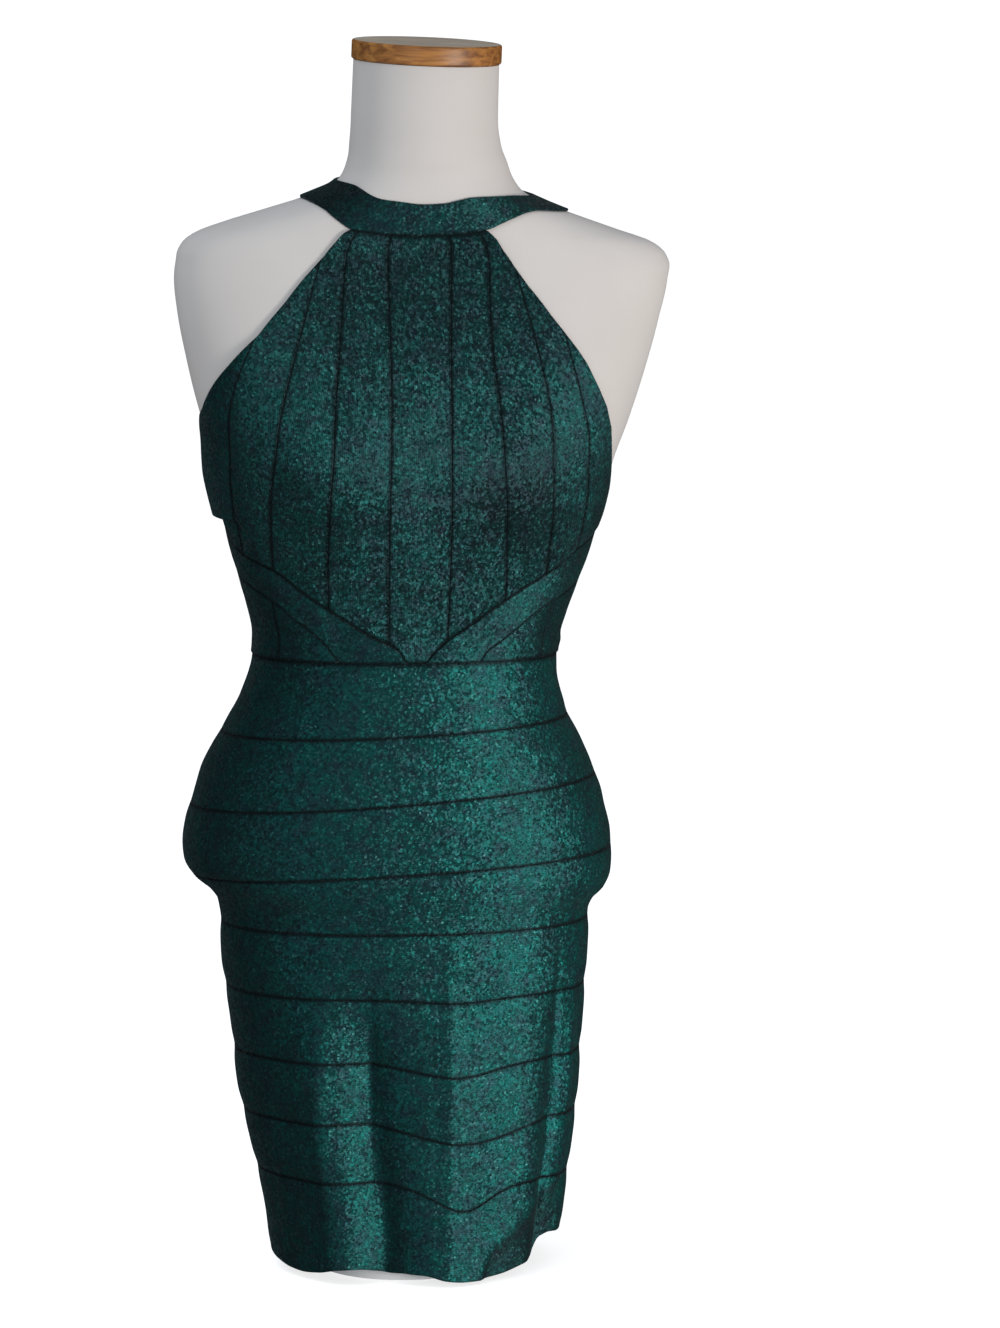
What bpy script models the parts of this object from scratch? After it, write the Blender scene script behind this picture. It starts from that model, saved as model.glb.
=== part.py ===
"""Halter-neck bandage dress on a limbless dress form with a compact stand.

The dress is knitted bands and strips sewn edge to edge. Every piece of cloth is a closed wall on the
surface of the dress form, or on the tube in which the skirt hangs below the form.

Lengths in the tables are millimetres and angles are degrees. Angle 0 is the middle of the front,
90 the wearer's left side (+X), 180 the middle of the back and -90 the wearer's right side (-X).
Heights are above the underside of the base plate, measured along the form's own upright.
"""
import bmesh
import bpy
import numpy as np
from math import cos, pi, radians, sin, tan
from mathutils import Matrix, Vector

MM = 0.001

# Form: how it stands.
FORM_LEAN = radians(2.2)
LEAN_PIVOT_HEIGHT = 344.0
FORM_SHIFT_X = -4.0
FORM_SHIFT_Y = -6.0
FORM_LIFT = -9.0
NECK_TILT = radians(3.3)
NECK_TILT_FROM = 890.0
SHOULDER_TILT = radians(0.8)
SHOULDER_TILT_FROM = 700.0
SHOULDER_TILT_TO = 905.0
SHOULDER_RAMP = 90.0
NECK_RAMP = 45.0
NECK_TOP = 956.0
FORM_UNDERSIDE = 316.0

# Neck cap and stand.
CAP_RADIUS = 58.0
CAP_THICKNESS = 15.0
CAP_EDGE = 1.5
PART_GAP = 0.3
BASE_RADIUS = 70.0
BASE_THICKNESS = 10.0
BASE_EDGE = 2.0
BOSS_RADIUS = 21.0
BOSS_HEIGHT = 18.0
POST_RADIUS = 12.5
COLLAR_TOP_RADIUS = 42.0
COLLAR_FOOT_RADIUS = 18.0
COLLAR_HEIGHT = 24.0
ROUND_SIDES = 32

# Cloth.
CLOTH_GAP = 1.1
CLOTH_WALL = 1.6
HALF_SEAM = 0.15
SIDE_SEAM_RIGHT_OF_WEARER = -96.0
SIDE_SEAM_LEFT_OF_WEARER = 91.0
BACK_TOP = 602.0
BACK_SEAM = 549.0
BODICE_LOWEST = 470.0
BODICE_HIGHEST = 850.0
BISECTIONS = 30
NECK_BAND_ROWS = 3
SIDE_STRIP_CROWDING = 1.8
STRIP_COLUMNS = (8, 5, 3, 3, 5, 3, 3, 5, 8)
STRIP_ROWS = 14
BACK_BAND_ROWS = 3
LEAST_STEP = 1.5
NECKLINE_REACH = 21.0

# Bust: two soft mounds on the front of the form.
BUST_X = 78.0
BUST_HEIGHT = 645.0
BUST_SPREAD_X = 42.0
BUST_SPREAD_HEIGHT = 46.0
BUST_RISE = 8.0
BUST_FADE = 3.0

# Level sections of the form. front and back are depths from the middle of the section.
FORM_SECTIONS = np.array(
    [
        # height, half_width, front, back, middle_y, squareness
        (316, 147.0, 82, 90, 0.0, 2.30),
        (318, 152.0, 88, 96, 0.0, 2.30),
        (324, 159.0, 94, 103, 0.0, 2.30),
        (332, 163.5, 98, 107, 0.0, 2.30),
        (344, 165.5, 100, 109, 0.0, 2.30),
        (360, 163.8, 100, 110, 0.0, 2.30),
        (385, 157.0, 98, 107, 0.0, 2.30),
        (400, 152.8, 96, 104, 0.0, 2.30),
        (430, 139.0, 91, 95, 0.0, 2.25),
        (460, 123.8, 85, 84, 0.0, 2.20),
        (490, 116.3, 81, 76, 0.0, 2.20),
        (508, 116.6, 81, 75, 0.0, 2.20),
        (535, 122.8, 85, 78, 0.0, 2.20),
        (565, 133.0, 91, 83, 0.0, 2.20),
        (595, 142.0, 97, 88, 0.0, 2.25),
        (625, 150.5, 102, 92, 0.0, 2.30),
        (655, 157.5, 104, 95, 0.0, 2.35),
        (685, 167.5, 101, 97, 0.0, 2.40),
        (720, 177.4, 94, 97, 0.0, 2.45),
        (760, 186.7, 82, 93, 0.0, 2.50),
        (790, 191.3, 72, 86, 0.0, 2.50),
        (803, 191.5, 68, 82, 0.0, 2.50),
        (813, 187.5, 65, 79, 0.0, 2.45),
        (821, 177.5, 63, 76, 0.0, 2.40),
        (830, 152.5, 61, 73, 0.0, 2.35),
        (840, 122.0, 59.5, 70, 0.0, 2.30),
        (850, 92.8, 58.5, 67, 0.0, 2.25),
        (860, 72.8, 57.5, 64, 0.0, 2.15),
        (870, 65.5, 57.0, 61, 0.0, 2.05),
        (880, 62.0, 57.0, 59, -1.0, 2.00),
        (892, 59.0, 57.0, 58, -1.5, 2.00),
        (910, 57.0, 57.0, 57, -3.0, 2.00),
        (956, 56.3, 56.5, 56.5, -5.0, 2.00),
    ]
)

# The form isn't quite even: its side points reach a little further towards the wearer's left.
SIDE_REACH = np.array(
    [
        # height, shift of the side points
        (700, 0.0),
        (760, 1.0),
        (790, 2.5),
        (805, 4.0),
        (821, 4.0),
        (832, 1.5),
        (842, 1.5),
        (852, 2.5),
        (865, 4.5),
        (880, 4.0),
        (892, 2.0),
        (915, 0.3),
        (956, 0.0),
    ]
)

# Level sections of the skirt's tube where it hangs below the hips.
SKIRT_SECTIONS = np.array(
    [
        # height, half_width, front, back, middle_x, squareness
        (8, 110.0, 84.0, 92.0, 25.0, 2.30),
        (44, 113.0, 84.0, 93.0, 23.8, 2.30),
        (105, 123.0, 86.0, 95.0, 19.0, 2.30),
        (153, 131.0, 88.0, 97.0, 14.8, 2.30),
        (202, 135.0, 90.0, 99.0, 12.0, 2.30),
        (250, 140.0, 92.0, 101.0, 8.6, 2.30),
        (286, 141.8, 93.0, 102.0, 7.4, 2.30),
        (300, 143.0, 94.5, 103.5, 6.0, 2.30),
        (310, 148.3, 96.5, 105.5, 3.9, 2.30),
        (320, 159.5, 98.5, 107.5, 1.6, 2.30),
        (331, 164.6, 100.0, 109.0, 0.4, 2.30),
        (344, 165.5, 100.0, 109.0, 0.0, 2.30),
        (360, 163.8, 100.0, 110.0, 0.0, 2.30),
    ]
)

# Upright folds of the hanging skirt: ridges rise outwards, valleys sink inwards.
SKIRT_FOLDS = np.array(
    [
        # angle, spread, rise
        (-60, 14.0, -3.0),
        (-34, 10.0, 5.0),
        (-17, 9.0, -13.0),
        (9, 11.0, 6.0),
        (32, 18.0, 3.0),
        (54, 5.0, -4.5),
        (120, 16.0, 4.0),
        (150, 13.0, -6.0),
        (-175, 20.0, 4.0),
        (-130, 15.0, -5.0),
    ]
)
FOLDS_START = 280.0
FOLDS_FULL = 150.0

# The corner of the hem is turned under, backwards from this line, beside the broad front fold.
TURNED_CORNER = np.array(
    [
        # angle, height of the line
        (20, -10.0),
        (23, 15.0),
        (26, 37.0),
        (31, 46.5),
        (37, 54.7),
        (44, 64.5),
        (51, 75.5),
        (60, 86.0),
        (72, 96.0),
    ]
)
CORNER_DEPTH = 10.0
CORNER_SOFTNESS = 14.0
CORNER_END = 76.0
CORNER_FADE = 16.0

# The hem dips under the front folds and lifts towards the wearer's left side.
HEM_EDGE = np.array(
    [
        # angle, height
        (-180, 27.0),
        (-150, 23.0),
        (-120, 22.0),
        (-101, 21.0),
        (-88, 18.5),
        (-74, 15.5),
        (-66, 13.2),
        (-58, 12.4),
        (-44, 15.2),
        (-33, 19.8),
        (-27, 20.6),
        (-20, 18.6),
        (-14, 17.5),
        (-6, 19.2),
        (1, 19.2),
        (9, 15.6),
        (16, 14.3),
        (24, 14.9),
        (32, 16.8),
        (43, 21.5),
        (50, 26.5),
        (54, 34.0),
        (58, 41.0),
        (66, 43.5),
        (80, 42.5),
        (90, 41.0),
        (120, 38.0),
        (150, 32.0),
        (180, 27.0),
    ]
)

# Seams round the skirt, from the waist down. tilt lifts the wearer's left side, and sag is how far
# the seam drops over the broad front fold.
SKIRT_SEAMS = np.array(
    [
        # height, tilt, sag, sag_angle, sag_spread
        (498.0, 4.3, 0.0, 14, 18),
        (441.5, 11.0, 0.0, 14, 18),
        (390.0, 17.0, 0.0, 14, 18),
        (336.0, 15.0, 0.0, 14, 18),
        (289.0, 6.0, 0.0, 14, 18),
        (237.5, 5.0, 3.0, 15, 14),
        (186.0, 4.0, 9.5, 14, 16.5),
        (138.0, 4.0, 14.5, 17, 21),
        (90.0, 2.0, 19.5, 15.5, 13.5),
    ]
)
SKIRT_BAND_ROWS = (3, 3, 4, 4, 2, 2, 2, 2, 2)

# Upright seams between the nine front strips: the angle of each seam at each height.
STRIP_SEAMS = np.array(
    [
        # height, seam_1 to seam_8
        (510, -73, -57, -33, -9.0, 13.2, 36.5, 55, 68),
        (565, -70.5, -53, -30, -9.0, 11.3, 31.5, 49, 65),
        (620, -67, -48, -27, -8.8, 9.5, 26.5, 43.5, 60.5),
        (670, -61.5, -41.5, -24.2, -8.3, 8.0, 22.4, 38, 52.5),
        (705, -54, -36.3, -22.3, -8.0, 7.1, 19.4, 33.5, 44.5),
        (740, -45, -31.5, -20.6, -8.1, 6.4, 16.6, 28.5, 37.5),
        (790, -36, -26, -18.9, -8.5, 6.0, 14.8, 22, 29.5),
        (830, -30, -23, -18.3, -9.0, 6.0, 14.5, 18.5, 24),
    ]
)

# Upper edge of the front bodice: armhole, neckline seam, armhole.
FRONT_TOP_EDGE = np.array(
    [
        # angle, height
        (-97, 600),
        (-95, 620),
        (-92, 645),
        (-88, 668),
        (-82, 680),
        (-76, 686),
        (-69, 697),
        (-55, 721.5),
        (-43, 745.5),
        (-34, 769),
        (-27, 792),
        (-21.5, 822),
        (-20.5, 827.2),
        (-12, 824.6),
        (-2, 823.6),
        (8, 825.6),
        (15, 828.1),
        (17.5, 829.2),
        (18.5, 826),
        (22, 798),
        (29, 775.6),
        (36, 753.4),
        (44, 731),
        (52, 708),
        (57, 696),
        (65, 672),
        (74, 650),
        (83, 625),
        (91, 603),
    ]
)

# Slanting seams under the bust. Where one drops below the waist seam it has ended.
SLANT_UPPER = np.array(
    [
        # angle, height
        (-97, 599),
        (-85, 586),
        (-73, 576),
        (-52, 564),
        (-41, 549),
        (-27, 531.4),
        (-16, 518),
        (-5, 507),
        (-1, 496),
        (3, 496),
        (8, 506),
        (12, 514.7),
        (23, 532),
        (31, 544.8),
        (44, 563),
        (55, 575.5),
        (65, 588),
        (78, 596),
        (91, 600),
    ]
)
SLANT_LOWER = np.array(
    [
        # angle, height
        (-97, 562),
        (-72, 549.6),
        (-56, 539),
        (-48, 528.3),
        (-41, 520),
        (-34, 509.3),
        (-27, 494),
        (-20, 480),
        (20, 480),
        (25, 496),
        (30, 509),
        (35, 516),
        (43, 528.4),
        (51, 540),
        (63, 550.2),
        (91, 566),
    ]
)
SLANT_TIP_LEFT = -2.2
SLANT_TIP_RIGHT = 4.2
SLANT_KINK_LEFT = -1.0
SLANT_KINK_RIGHT = 3.0
GORE_TIP_LEFT = -29.0
GORE_TIP_RIGHT = 26.5
GORE_SEAM_LEFT = -58.0
GORE_SEAM_RIGHT = 60.0

# Neck band: its lower and upper edge round the base of the neck.
NECK_BAND_EDGES = np.array(
    [
        # angle, low, high
        (-180, 851.0, 872.0),
        (-135, 850.0, 867.0),
        (-110, 849.5, 864.0),
        (-90, 849.0, 863.0),
        (-75, 848.5, 862.5),
        (-62, 847.0, 861.7),
        (-51, 844.8, 860.5),
        (-41, 841.5, 857.6),
        (-32, 836.4, 854.3),
        (-25, 831.2, 851.8),
        (-22, 828.5, 851.0),
        (-12, 825.0, 849.6),
        (-2, 824.0, 848.2),
        (8, 826.0, 849.1),
        (15, 828.5, 851.3),
        (18, 829.8, 852.2),
        (24, 834.0, 853.6),
        (31, 838.0, 854.0),
        (43, 842.6, 854.2),
        (52, 844.0, 854.4),
        (65, 843.5, 854.7),
        (90, 843.0, 855.8),
        (110, 845.0, 858.5),
        (135, 848.0, 864.5),
        (180, 851.0, 872.0),
    ]
)

# The free side edges of the front bodice stand off the form.
STAND_OFFS = np.array(
    [
        # angle, spread, low, high, rise
        (-92, 22, 598, 690, 6.5),
        (88, 18, 598, 690, 1.0),
        (-55, 22, 640, 790, 0.8),
        (52, 22, 640, 790, 1.0),
    ]
)
STAND_OFF_FOOT = 5.0
STAND_OFF_HEAD = 60.0

# Columns round the form and the rings: closer together over the front folds.
FRONT_COLUMNS = np.arange(-60.0, 72.1, 6.0)
BACK_COLUMNS = np.linspace(72.0, 300.0, 22)[1:-1]
RING_ANGLES = np.concatenate([FRONT_COLUMNS, BACK_COLUMNS])
FORM_HEIGHTS = np.array(
    [316, 318.5, 323, 331, 344, 362, 382, 402, 420, 437, 452, 465, 477, 488, 499, 511, 528, 550, 573, 597]
    + [621, 645, 670, 695, 722, 750, 775, 790, 800, 808, 815, 821, 827, 834, 842, 850, 858, 867, 877]
    + [892, 915, 956]
)

# Colours are linear red, green, blue.
FINISHES = {
    # name: (colour, roughness, metallic)
    "knit": ((0.006, 0.040, 0.036), 0.55, 0.15),
    "form_cover": ((0.62, 0.60, 0.60), 0.70, 0.0),
    "cap_wood": ((0.33, 0.13, 0.045), 0.50, 0.0),
    "stand_paint": ((0.72, 0.72, 0.72), 0.45, 0.0),
}


def clear_scene():
    """Take away every object of the starting scene."""
    for item in list(bpy.data.objects):
        bpy.data.objects.remove(item, do_unlink=True)


def make_material(name):
    """One Principled material for one sub-part, with the finish's colour, roughness and metallic."""
    finish = name.split("__")[0]
    colour, roughness, metallic = FINISHES[finish]
    material = bpy.data.materials.new(name)
    material.use_nodes = True
    shader = material.node_tree.nodes["Principled BSDF"]
    shader.inputs["Base Color"].default_value = (*colour, 1.0)
    shader.inputs["Roughness"].default_value = roughness
    shader.inputs["Metallic"].default_value = metallic
    return material


def smooth_curve(knots, values, at):
    """Smooth curve through the rows of a table that never overshoots them (monotone cubic)."""
    step = np.diff(knots)
    slope = np.diff(values) / step
    near = 2 * step[1:] + step[:-1]
    far = step[1:] + 2 * step[:-1]
    same_way = slope[:-1] * slope[1:] > 0
    before = np.where(same_way, slope[:-1], 1.0)
    after = np.where(same_way, slope[1:], 1.0)
    tangent = np.empty(len(knots))
    tangent[1:-1] = np.where(same_way, (near + far) / (near / before + far / after), 0.0)
    tangent[0] = slope[0]
    tangent[-1] = slope[-1]
    at = np.clip(at, knots[0], knots[-1])
    row = np.clip(np.searchsorted(knots, at) - 1, 0, len(step) - 1)
    part = (at - knots[row]) / step[row]
    start = (1 + 2 * part) * (1 - part) ** 2 * values[row] + part**2 * (3 - 2 * part) * values[row + 1]
    bend = part * (1 - part) ** 2 * tangent[row] + part**2 * (part - 1) * tangent[row + 1]
    return start + step[row] * bend


def column(table, index, at):
    """One column of a table, read smoothly at the given heights or angles."""
    return smooth_curve(table[:, 0], table[:, index], at)


def ease(amount):
    """A step from 0 to 1 with soft ends."""
    amount = np.clip(amount, 0.0, 1.0)
    return amount * amount * (3 - 2 * amount)


def turn_between(angle, centre):
    """Signed turn in degrees from centre to angle, between -180 and 180."""
    return (angle - centre + 180.0) % 360.0 - 180.0


def bump(angle, centre, spread):
    """A bell of height 1 round an angle."""
    return np.exp(-((turn_between(angle, centre) / spread) ** 2))


def section_points(angle, half_width, front, back, squareness):
    """Points of a rounded section: x follows the sine, y the matching superellipse."""
    side = np.sin(np.radians(angle))
    depth = np.clip(1 - np.abs(side) ** squareness, 0, 1) ** (1 / squareness)
    forward = np.cos(np.radians(angle)) >= 0
    return half_width * side, np.where(forward, -front * depth, back * depth)


def form_surface(angle, height):
    """The dress form's own surface, in millimetres in the form's frame."""
    angle, height = np.broadcast_arrays(angle, height)
    half_width, front, back, middle_y, squareness = [column(FORM_SECTIONS, k, height) for k in range(1, 6)]
    x, y = section_points(angle, half_width, front, back, squareness)
    spread_x = (np.abs(x) - BUST_X) / BUST_SPREAD_X
    spread_height = (height - BUST_HEIGHT) / BUST_SPREAD_HEIGHT
    facing = np.clip(BUST_FADE * np.cos(np.radians(angle)), 0, 1)
    y = y + middle_y - BUST_RISE * facing * np.exp(-(spread_x**2) - spread_height**2)
    neck_tilt = tan(NECK_TILT) * ease((height - NECK_TILT_FROM) / (NECK_TOP - NECK_TILT_FROM))
    window = ease((height - SHOULDER_TILT_FROM) / SHOULDER_RAMP)
    window = window * ease((SHOULDER_TILT_TO - height) / NECK_RAMP)
    rise = neck_tilt * (y - middle_y) + tan(SHOULDER_TILT) * window * x
    sideways = column(SIDE_REACH, 1, height) * np.sin(np.radians(angle)) ** 2
    return np.stack([x + sideways, y, height + rise], axis=-1)


def skirt_surface(angle, height):
    """The tube in which the skirt hangs, with its upright folds and the turned hem corner."""
    angle, height = np.broadcast_arrays(angle, height)
    half_width, front, back, middle_x, squareness = [column(SKIRT_SECTIONS, k, height) for k in range(1, 6)]
    x, y = section_points(angle, half_width, front, back, squareness)
    fold = sum(rise * bump(angle, centre, spread) for centre, spread, rise in SKIRT_FOLDS)
    fold = fold * ease((FOLDS_START - height) / (FOLDS_START - FOLDS_FULL))
    reach = 1 + fold / np.hypot(x, y)
    around = turn_between(angle, 0.0)
    below = np.maximum(0, column(TURNED_CORNER, 1, around) - height)
    turned = CORNER_DEPTH * (1 - np.exp(-below / CORNER_SOFTNESS))
    turned = turned * ease((CORNER_END - around) / CORNER_FADE)
    return np.stack([middle_x + x * reach, y * reach + turned, height + 0 * x], axis=-1)


def dress_surface(angle, height):
    """The surface that the dress follows: the form, and the hanging tube below the hips."""
    angle, height = np.broadcast_arrays(angle, height)
    on_form = (height >= LEAN_PIVOT_HEIGHT)[..., None]
    return np.where(on_form, form_surface(angle, height), skirt_surface(angle, height))


def moved_out(surface, angle, height, distance):
    """Surface points moved out along the surface's own normal."""
    angle_step = 0.6
    height_step = 0.4
    across = surface(angle + angle_step, height) - surface(angle - angle_step, height)
    upward = surface(angle, height + height_step) - surface(angle, height - height_step)
    normal = np.cross(across, upward)
    normal = normal / np.linalg.norm(normal, axis=-1, keepdims=True)
    return surface(angle, height) + normal * np.asarray(distance)[..., None]


def arc_per_degree(angle, height):
    """Millimetres along the dress surface for one degree."""
    return np.linalg.norm(dress_surface(angle + 0.5, height) - dress_surface(angle - 0.5, height), axis=-1)


def stand_off(angle, height):
    """How far the free side edges of the front bodice stand away from the form."""
    total = 0.0
    for centre, spread, low, high, rise in STAND_OFFS:
        window = ease((height - low) / STAND_OFF_FOOT) * ease((high - height) / STAND_OFF_HEAD)
        total = total + rise * bump(angle, centre, spread) * window
    return total


def waist_height(angle):
    """Height of the waist seam round the body."""
    return SKIRT_SEAMS[0, 0] + SKIRT_SEAMS[0, 1] * np.sin(np.radians(angle))


def skirt_seam_height(index, angle):
    """Height of one skirt seam: a tilted ring that sags over the broad front fold. The last is the hem."""
    if index == len(SKIRT_SEAMS):
        return column(HEM_EDGE, 1, turn_between(angle, 0.0))
    height, tilt, sag, sag_angle, sag_spread = SKIRT_SEAMS[index]
    return height + tilt * np.sin(np.radians(angle)) - sag * bump(angle, sag_angle, sag_spread)


def slant_upper(angle):
    """The slanting seams' upper line, no lower than the waist seam."""
    return np.maximum(column(SLANT_UPPER, 1, angle), waist_height(angle))


def slant_lower(angle):
    """The slanting bands' lower line, no lower than the waist seam."""
    return np.maximum(column(SLANT_LOWER, 1, angle), waist_height(angle))


def front_top(angle):
    """The front bodice's upper edge, with straight runs so that its corners stay sharp."""
    return np.interp(angle, FRONT_TOP_EDGE[:, 0], FRONT_TOP_EDGE[:, 1])


def seam_room(line, angle, height):
    """Half the seam gap, measured upright, beside a line that may slope."""
    slope = (line(angle + 0.5) - line(angle - 0.5)) / arc_per_degree(angle, height)
    return HALF_SEAM * np.sqrt(1 + slope**2)


def crossing(angle_at, line, low, high, above):
    """Height at which a seam, given as angle by height, meets a line, given as height by angle."""
    for _ in range(BISECTIONS):
        middle = (low + high) / 2
        over = middle > line(angle_at(middle))
        high = np.where(over, middle, high)
        low = np.where(over, low, middle)
    height = (low + high) / 2
    room = seam_room(line, angle_at(height), height)
    return height + room if above else height - room


def patch_grid(left, right, bottom, top, across, rows):
    """Angles and heights of a piece between two seams and two edges.

    left and right give an angle for a height, bottom and top a height for an angle. Each upright
    grid line keeps its share of the way from left to right, and runs from bottom to top.
    """
    across = np.asarray(across, float)

    def angle_at(height):
        left_angle = left(height)
        right_angle = right(height)
        left_angle = left_angle + HALF_SEAM / arc_per_degree(left_angle, height)
        right_angle = right_angle - HALF_SEAM / arc_per_degree(right_angle, height)
        return left_angle + (right_angle - left_angle) * across

    lowest = np.full(across.shape, BODICE_LOWEST)
    highest = np.full(across.shape, BODICE_HIGHEST)
    foot = crossing(angle_at, bottom, lowest, highest, above=True)
    head = crossing(angle_at, top, foot, highest, above=False)
    upward = np.linspace(0, 1, rows + 1)[:, None]
    height = foot + (head - foot) * upward
    angle = np.stack([angle_at(row) for row in height])
    return angle, height


def wall_mesh(name, outer, inner, closed):
    """A closed wall between an outer and an inner grid of points (rows by columns, millimetres)."""
    rows, columns = outer.shape[:2]
    mesh = bpy.data.meshes.new(name)
    shell = bmesh.new()
    skins = [[[shell.verts.new(p * MM) for p in row] for row in grid] for grid in (outer, inner)]
    spans = columns if closed else columns - 1
    outside, inside = skins
    for span in range(spans):
        after = (span + 1) % columns
        for row in range(rows - 1):
            for skin in skins:
                corners = (skin[row][span], skin[row][after], skin[row + 1][after], skin[row + 1][span])
                shell.faces.new(corners)
        for row in (0, rows - 1):
            corners = (outside[row][span], outside[row][after], inside[row][after], inside[row][span])
            shell.faces.new(corners)
    if not closed:
        for end in (0, columns - 1):
            for row in range(rows - 1):
                above = row + 1
                corners = (outside[row][end], outside[above][end], inside[above][end], inside[row][end])
                shell.faces.new(corners)
    bmesh.ops.recalc_face_normals(shell, faces=shell.faces)
    shell.to_mesh(mesh)
    shell.free()
    return mesh


def add_object(name, mesh, finish, parent=None):
    """Put a mesh in the scene as one named sub-part with its own material."""
    mesh.materials.append(make_material(f"{finish}__{name}"))
    item = bpy.data.objects.new(name, mesh)
    bpy.context.scene.collection.objects.link(item)
    item.parent = parent
    return item


def add_cloth(name, surface, angle, height, parent, closed=False, extra=0.0):
    """One piece of cloth: a wall that starts a small gap above the surface."""
    inside = CLOTH_GAP + extra + 0 * angle
    outer = moved_out(surface, angle, height, inside + CLOTH_WALL)
    inner = moved_out(surface, angle, height, inside)
    mesh = wall_mesh(name, outer, inner, closed)
    mesh.shade_smooth()
    mesh.set_sharp_from_angle(angle=radians(50))
    return add_object(name, mesh, "knit", parent)


def build_form(parent):
    """The torso and neck: one smooth closed body lofted through its level sections."""
    rings = form_surface(RING_ANGLES[None, :], FORM_HEIGHTS[:, None])
    mesh = bpy.data.meshes.new("form_torso")
    body = bmesh.new()
    levels = [[body.verts.new(p * MM) for p in ring] for ring in rings]
    edges = [[body.edges.new((ring[k - 1], ring[k])) for k in range(len(ring))] for ring in levels]
    for below, above in zip(edges[:-1], edges[1:]):
        bmesh.ops.bridge_loops(body, edges=below + above)
    body.faces.new(levels[0][::-1])
    body.faces.new(levels[-1])
    bmesh.ops.recalc_face_normals(body, faces=body.faces)
    body.to_mesh(mesh)
    body.free()
    mesh.shade_smooth()
    mesh.set_sharp_from_angle(angle=radians(50))
    add_object("form_torso", mesh, "form_cover", parent)


def turned_mesh(name, profile):
    """A body turned round Z from (radius, height) pairs that start and end on the axis."""
    mesh = bpy.data.meshes.new(name)
    body = bmesh.new()
    verts = [body.verts.new((radius * MM, 0, height * MM)) for radius, height in profile]
    line = [body.edges.new(pair) for pair in zip(verts[:-1], verts[1:])]
    bmesh.ops.spin(body, geom=verts + line, cent=(0, 0, 0), axis=(0, 0, 1), angle=2 * pi, steps=ROUND_SIDES)
    bmesh.ops.remove_doubles(body, verts=body.verts, dist=1e-6)
    bmesh.ops.recalc_face_normals(body, faces=body.faces)
    body.to_mesh(mesh)
    body.free()
    mesh.shade_smooth()
    mesh.set_sharp_from_angle(angle=radians(40))
    return mesh


def build_neck_cap(parent):
    """The wooden disc on the neck, with softened rims, tilted forward with the top of the neck."""
    inner_radius = CAP_RADIUS - CAP_EDGE
    profile = [(0, 0), (inner_radius, 0), (CAP_RADIUS, CAP_EDGE)]
    profile += [(CAP_RADIUS, CAP_THICKNESS - CAP_EDGE), (inner_radius, CAP_THICKNESS), (0, CAP_THICKNESS)]
    cap = add_object("form_neck_cap", turned_mesh("form_neck_cap", profile), "cap_wood", parent)
    middle_y = FORM_SECTIONS[-1, 4]
    cap.rotation_euler = (NECK_TILT, 0, 0)
    cap.location = Vector((0, middle_y, NECK_TOP + PART_GAP)) * MM


def build_stand(form_placement):
    """Collar, post and base plate. The collar takes up the form's lean, so that the post is upright."""
    base_profile = [(0, 0), (BASE_RADIUS, 0), (BASE_RADIUS, BASE_THICKNESS - BASE_EDGE)]
    base_profile += [(BASE_RADIUS - BASE_EDGE, BASE_THICKNESS), (BOSS_RADIUS, BASE_THICKNESS)]
    base_profile += [(BOSS_RADIUS - BASE_EDGE, BOSS_HEIGHT), (0, BOSS_HEIGHT)]
    add_object("stand_base", turned_mesh("stand_base", base_profile), "stand_paint")

    seat = form_placement @ Vector((0, 0, (FORM_UNDERSIDE - PART_GAP) * MM))
    collar_foot = seat.z / MM - COLLAR_HEIGHT
    post_foot = BOSS_HEIGHT + PART_GAP
    post_head = collar_foot - PART_GAP
    post_profile = [(0, post_foot), (POST_RADIUS, post_foot), (POST_RADIUS, post_head), (0, post_head)]
    add_object("stand_post", turned_mesh("stand_post", post_profile), "stand_paint")

    mesh = bpy.data.meshes.new("stand_collar")
    body = bmesh.new()
    foot_ring = []
    head_ring = []
    for side in range(ROUND_SIDES):
        turn = 2 * pi * side / ROUND_SIDES
        outward = Vector((cos(turn), sin(turn), 0))
        foot = outward * COLLAR_FOOT_RADIUS + Vector((0, 0, collar_foot))
        head = outward * COLLAR_TOP_RADIUS + Vector((0, 0, FORM_UNDERSIDE - PART_GAP))
        foot_ring.append(body.verts.new(foot * MM))
        head_ring.append(body.verts.new(form_placement @ (head * MM)))
    for side in range(ROUND_SIDES):
        after = (side + 1) % ROUND_SIDES
        body.faces.new((foot_ring[side], foot_ring[after], head_ring[after], head_ring[side]))
    body.faces.new(foot_ring[::-1])
    body.faces.new(head_ring)
    bmesh.ops.recalc_face_normals(body, faces=body.faces)
    body.to_mesh(mesh)
    body.free()
    mesh.shade_smooth()
    mesh.set_sharp_from_angle(angle=radians(40))
    add_object("stand_collar", mesh, "stand_paint")


def build_neck_band(parent):
    """The wide halter ring round the base of the neck."""
    share = np.linspace(0, 1, NECK_BAND_ROWS + 1)[:, None]
    angle = np.tile(RING_ANGLES, (len(share), 1))
    around = turn_between(angle, 0.0)
    low = column(NECK_BAND_EDGES, 1, around)
    over_strips = front_top(around) + 2 * HALF_SEAM
    low = np.where(np.abs(around) < NECKLINE_REACH, np.maximum(low, over_strips), low)
    high = column(NECK_BAND_EDGES, 2, around)
    height = low + (high - low) * share
    add_cloth("neck_band", form_surface, angle, height, parent, closed=True)


def fixed_angle(value):
    """A side seam: the same angle at every height."""
    return lambda height: value + 0.0 * np.asarray(height, float)


def strip_seam(index):
    """Upright seam number index, with the side seams as number 0 and number 9."""
    if index == 0:
        return fixed_angle(SIDE_SEAM_RIGHT_OF_WEARER)
    if index == 9:
        return fixed_angle(SIDE_SEAM_LEFT_OF_WEARER)
    return lambda height: column(STRIP_SEAMS, index, height)


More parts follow.
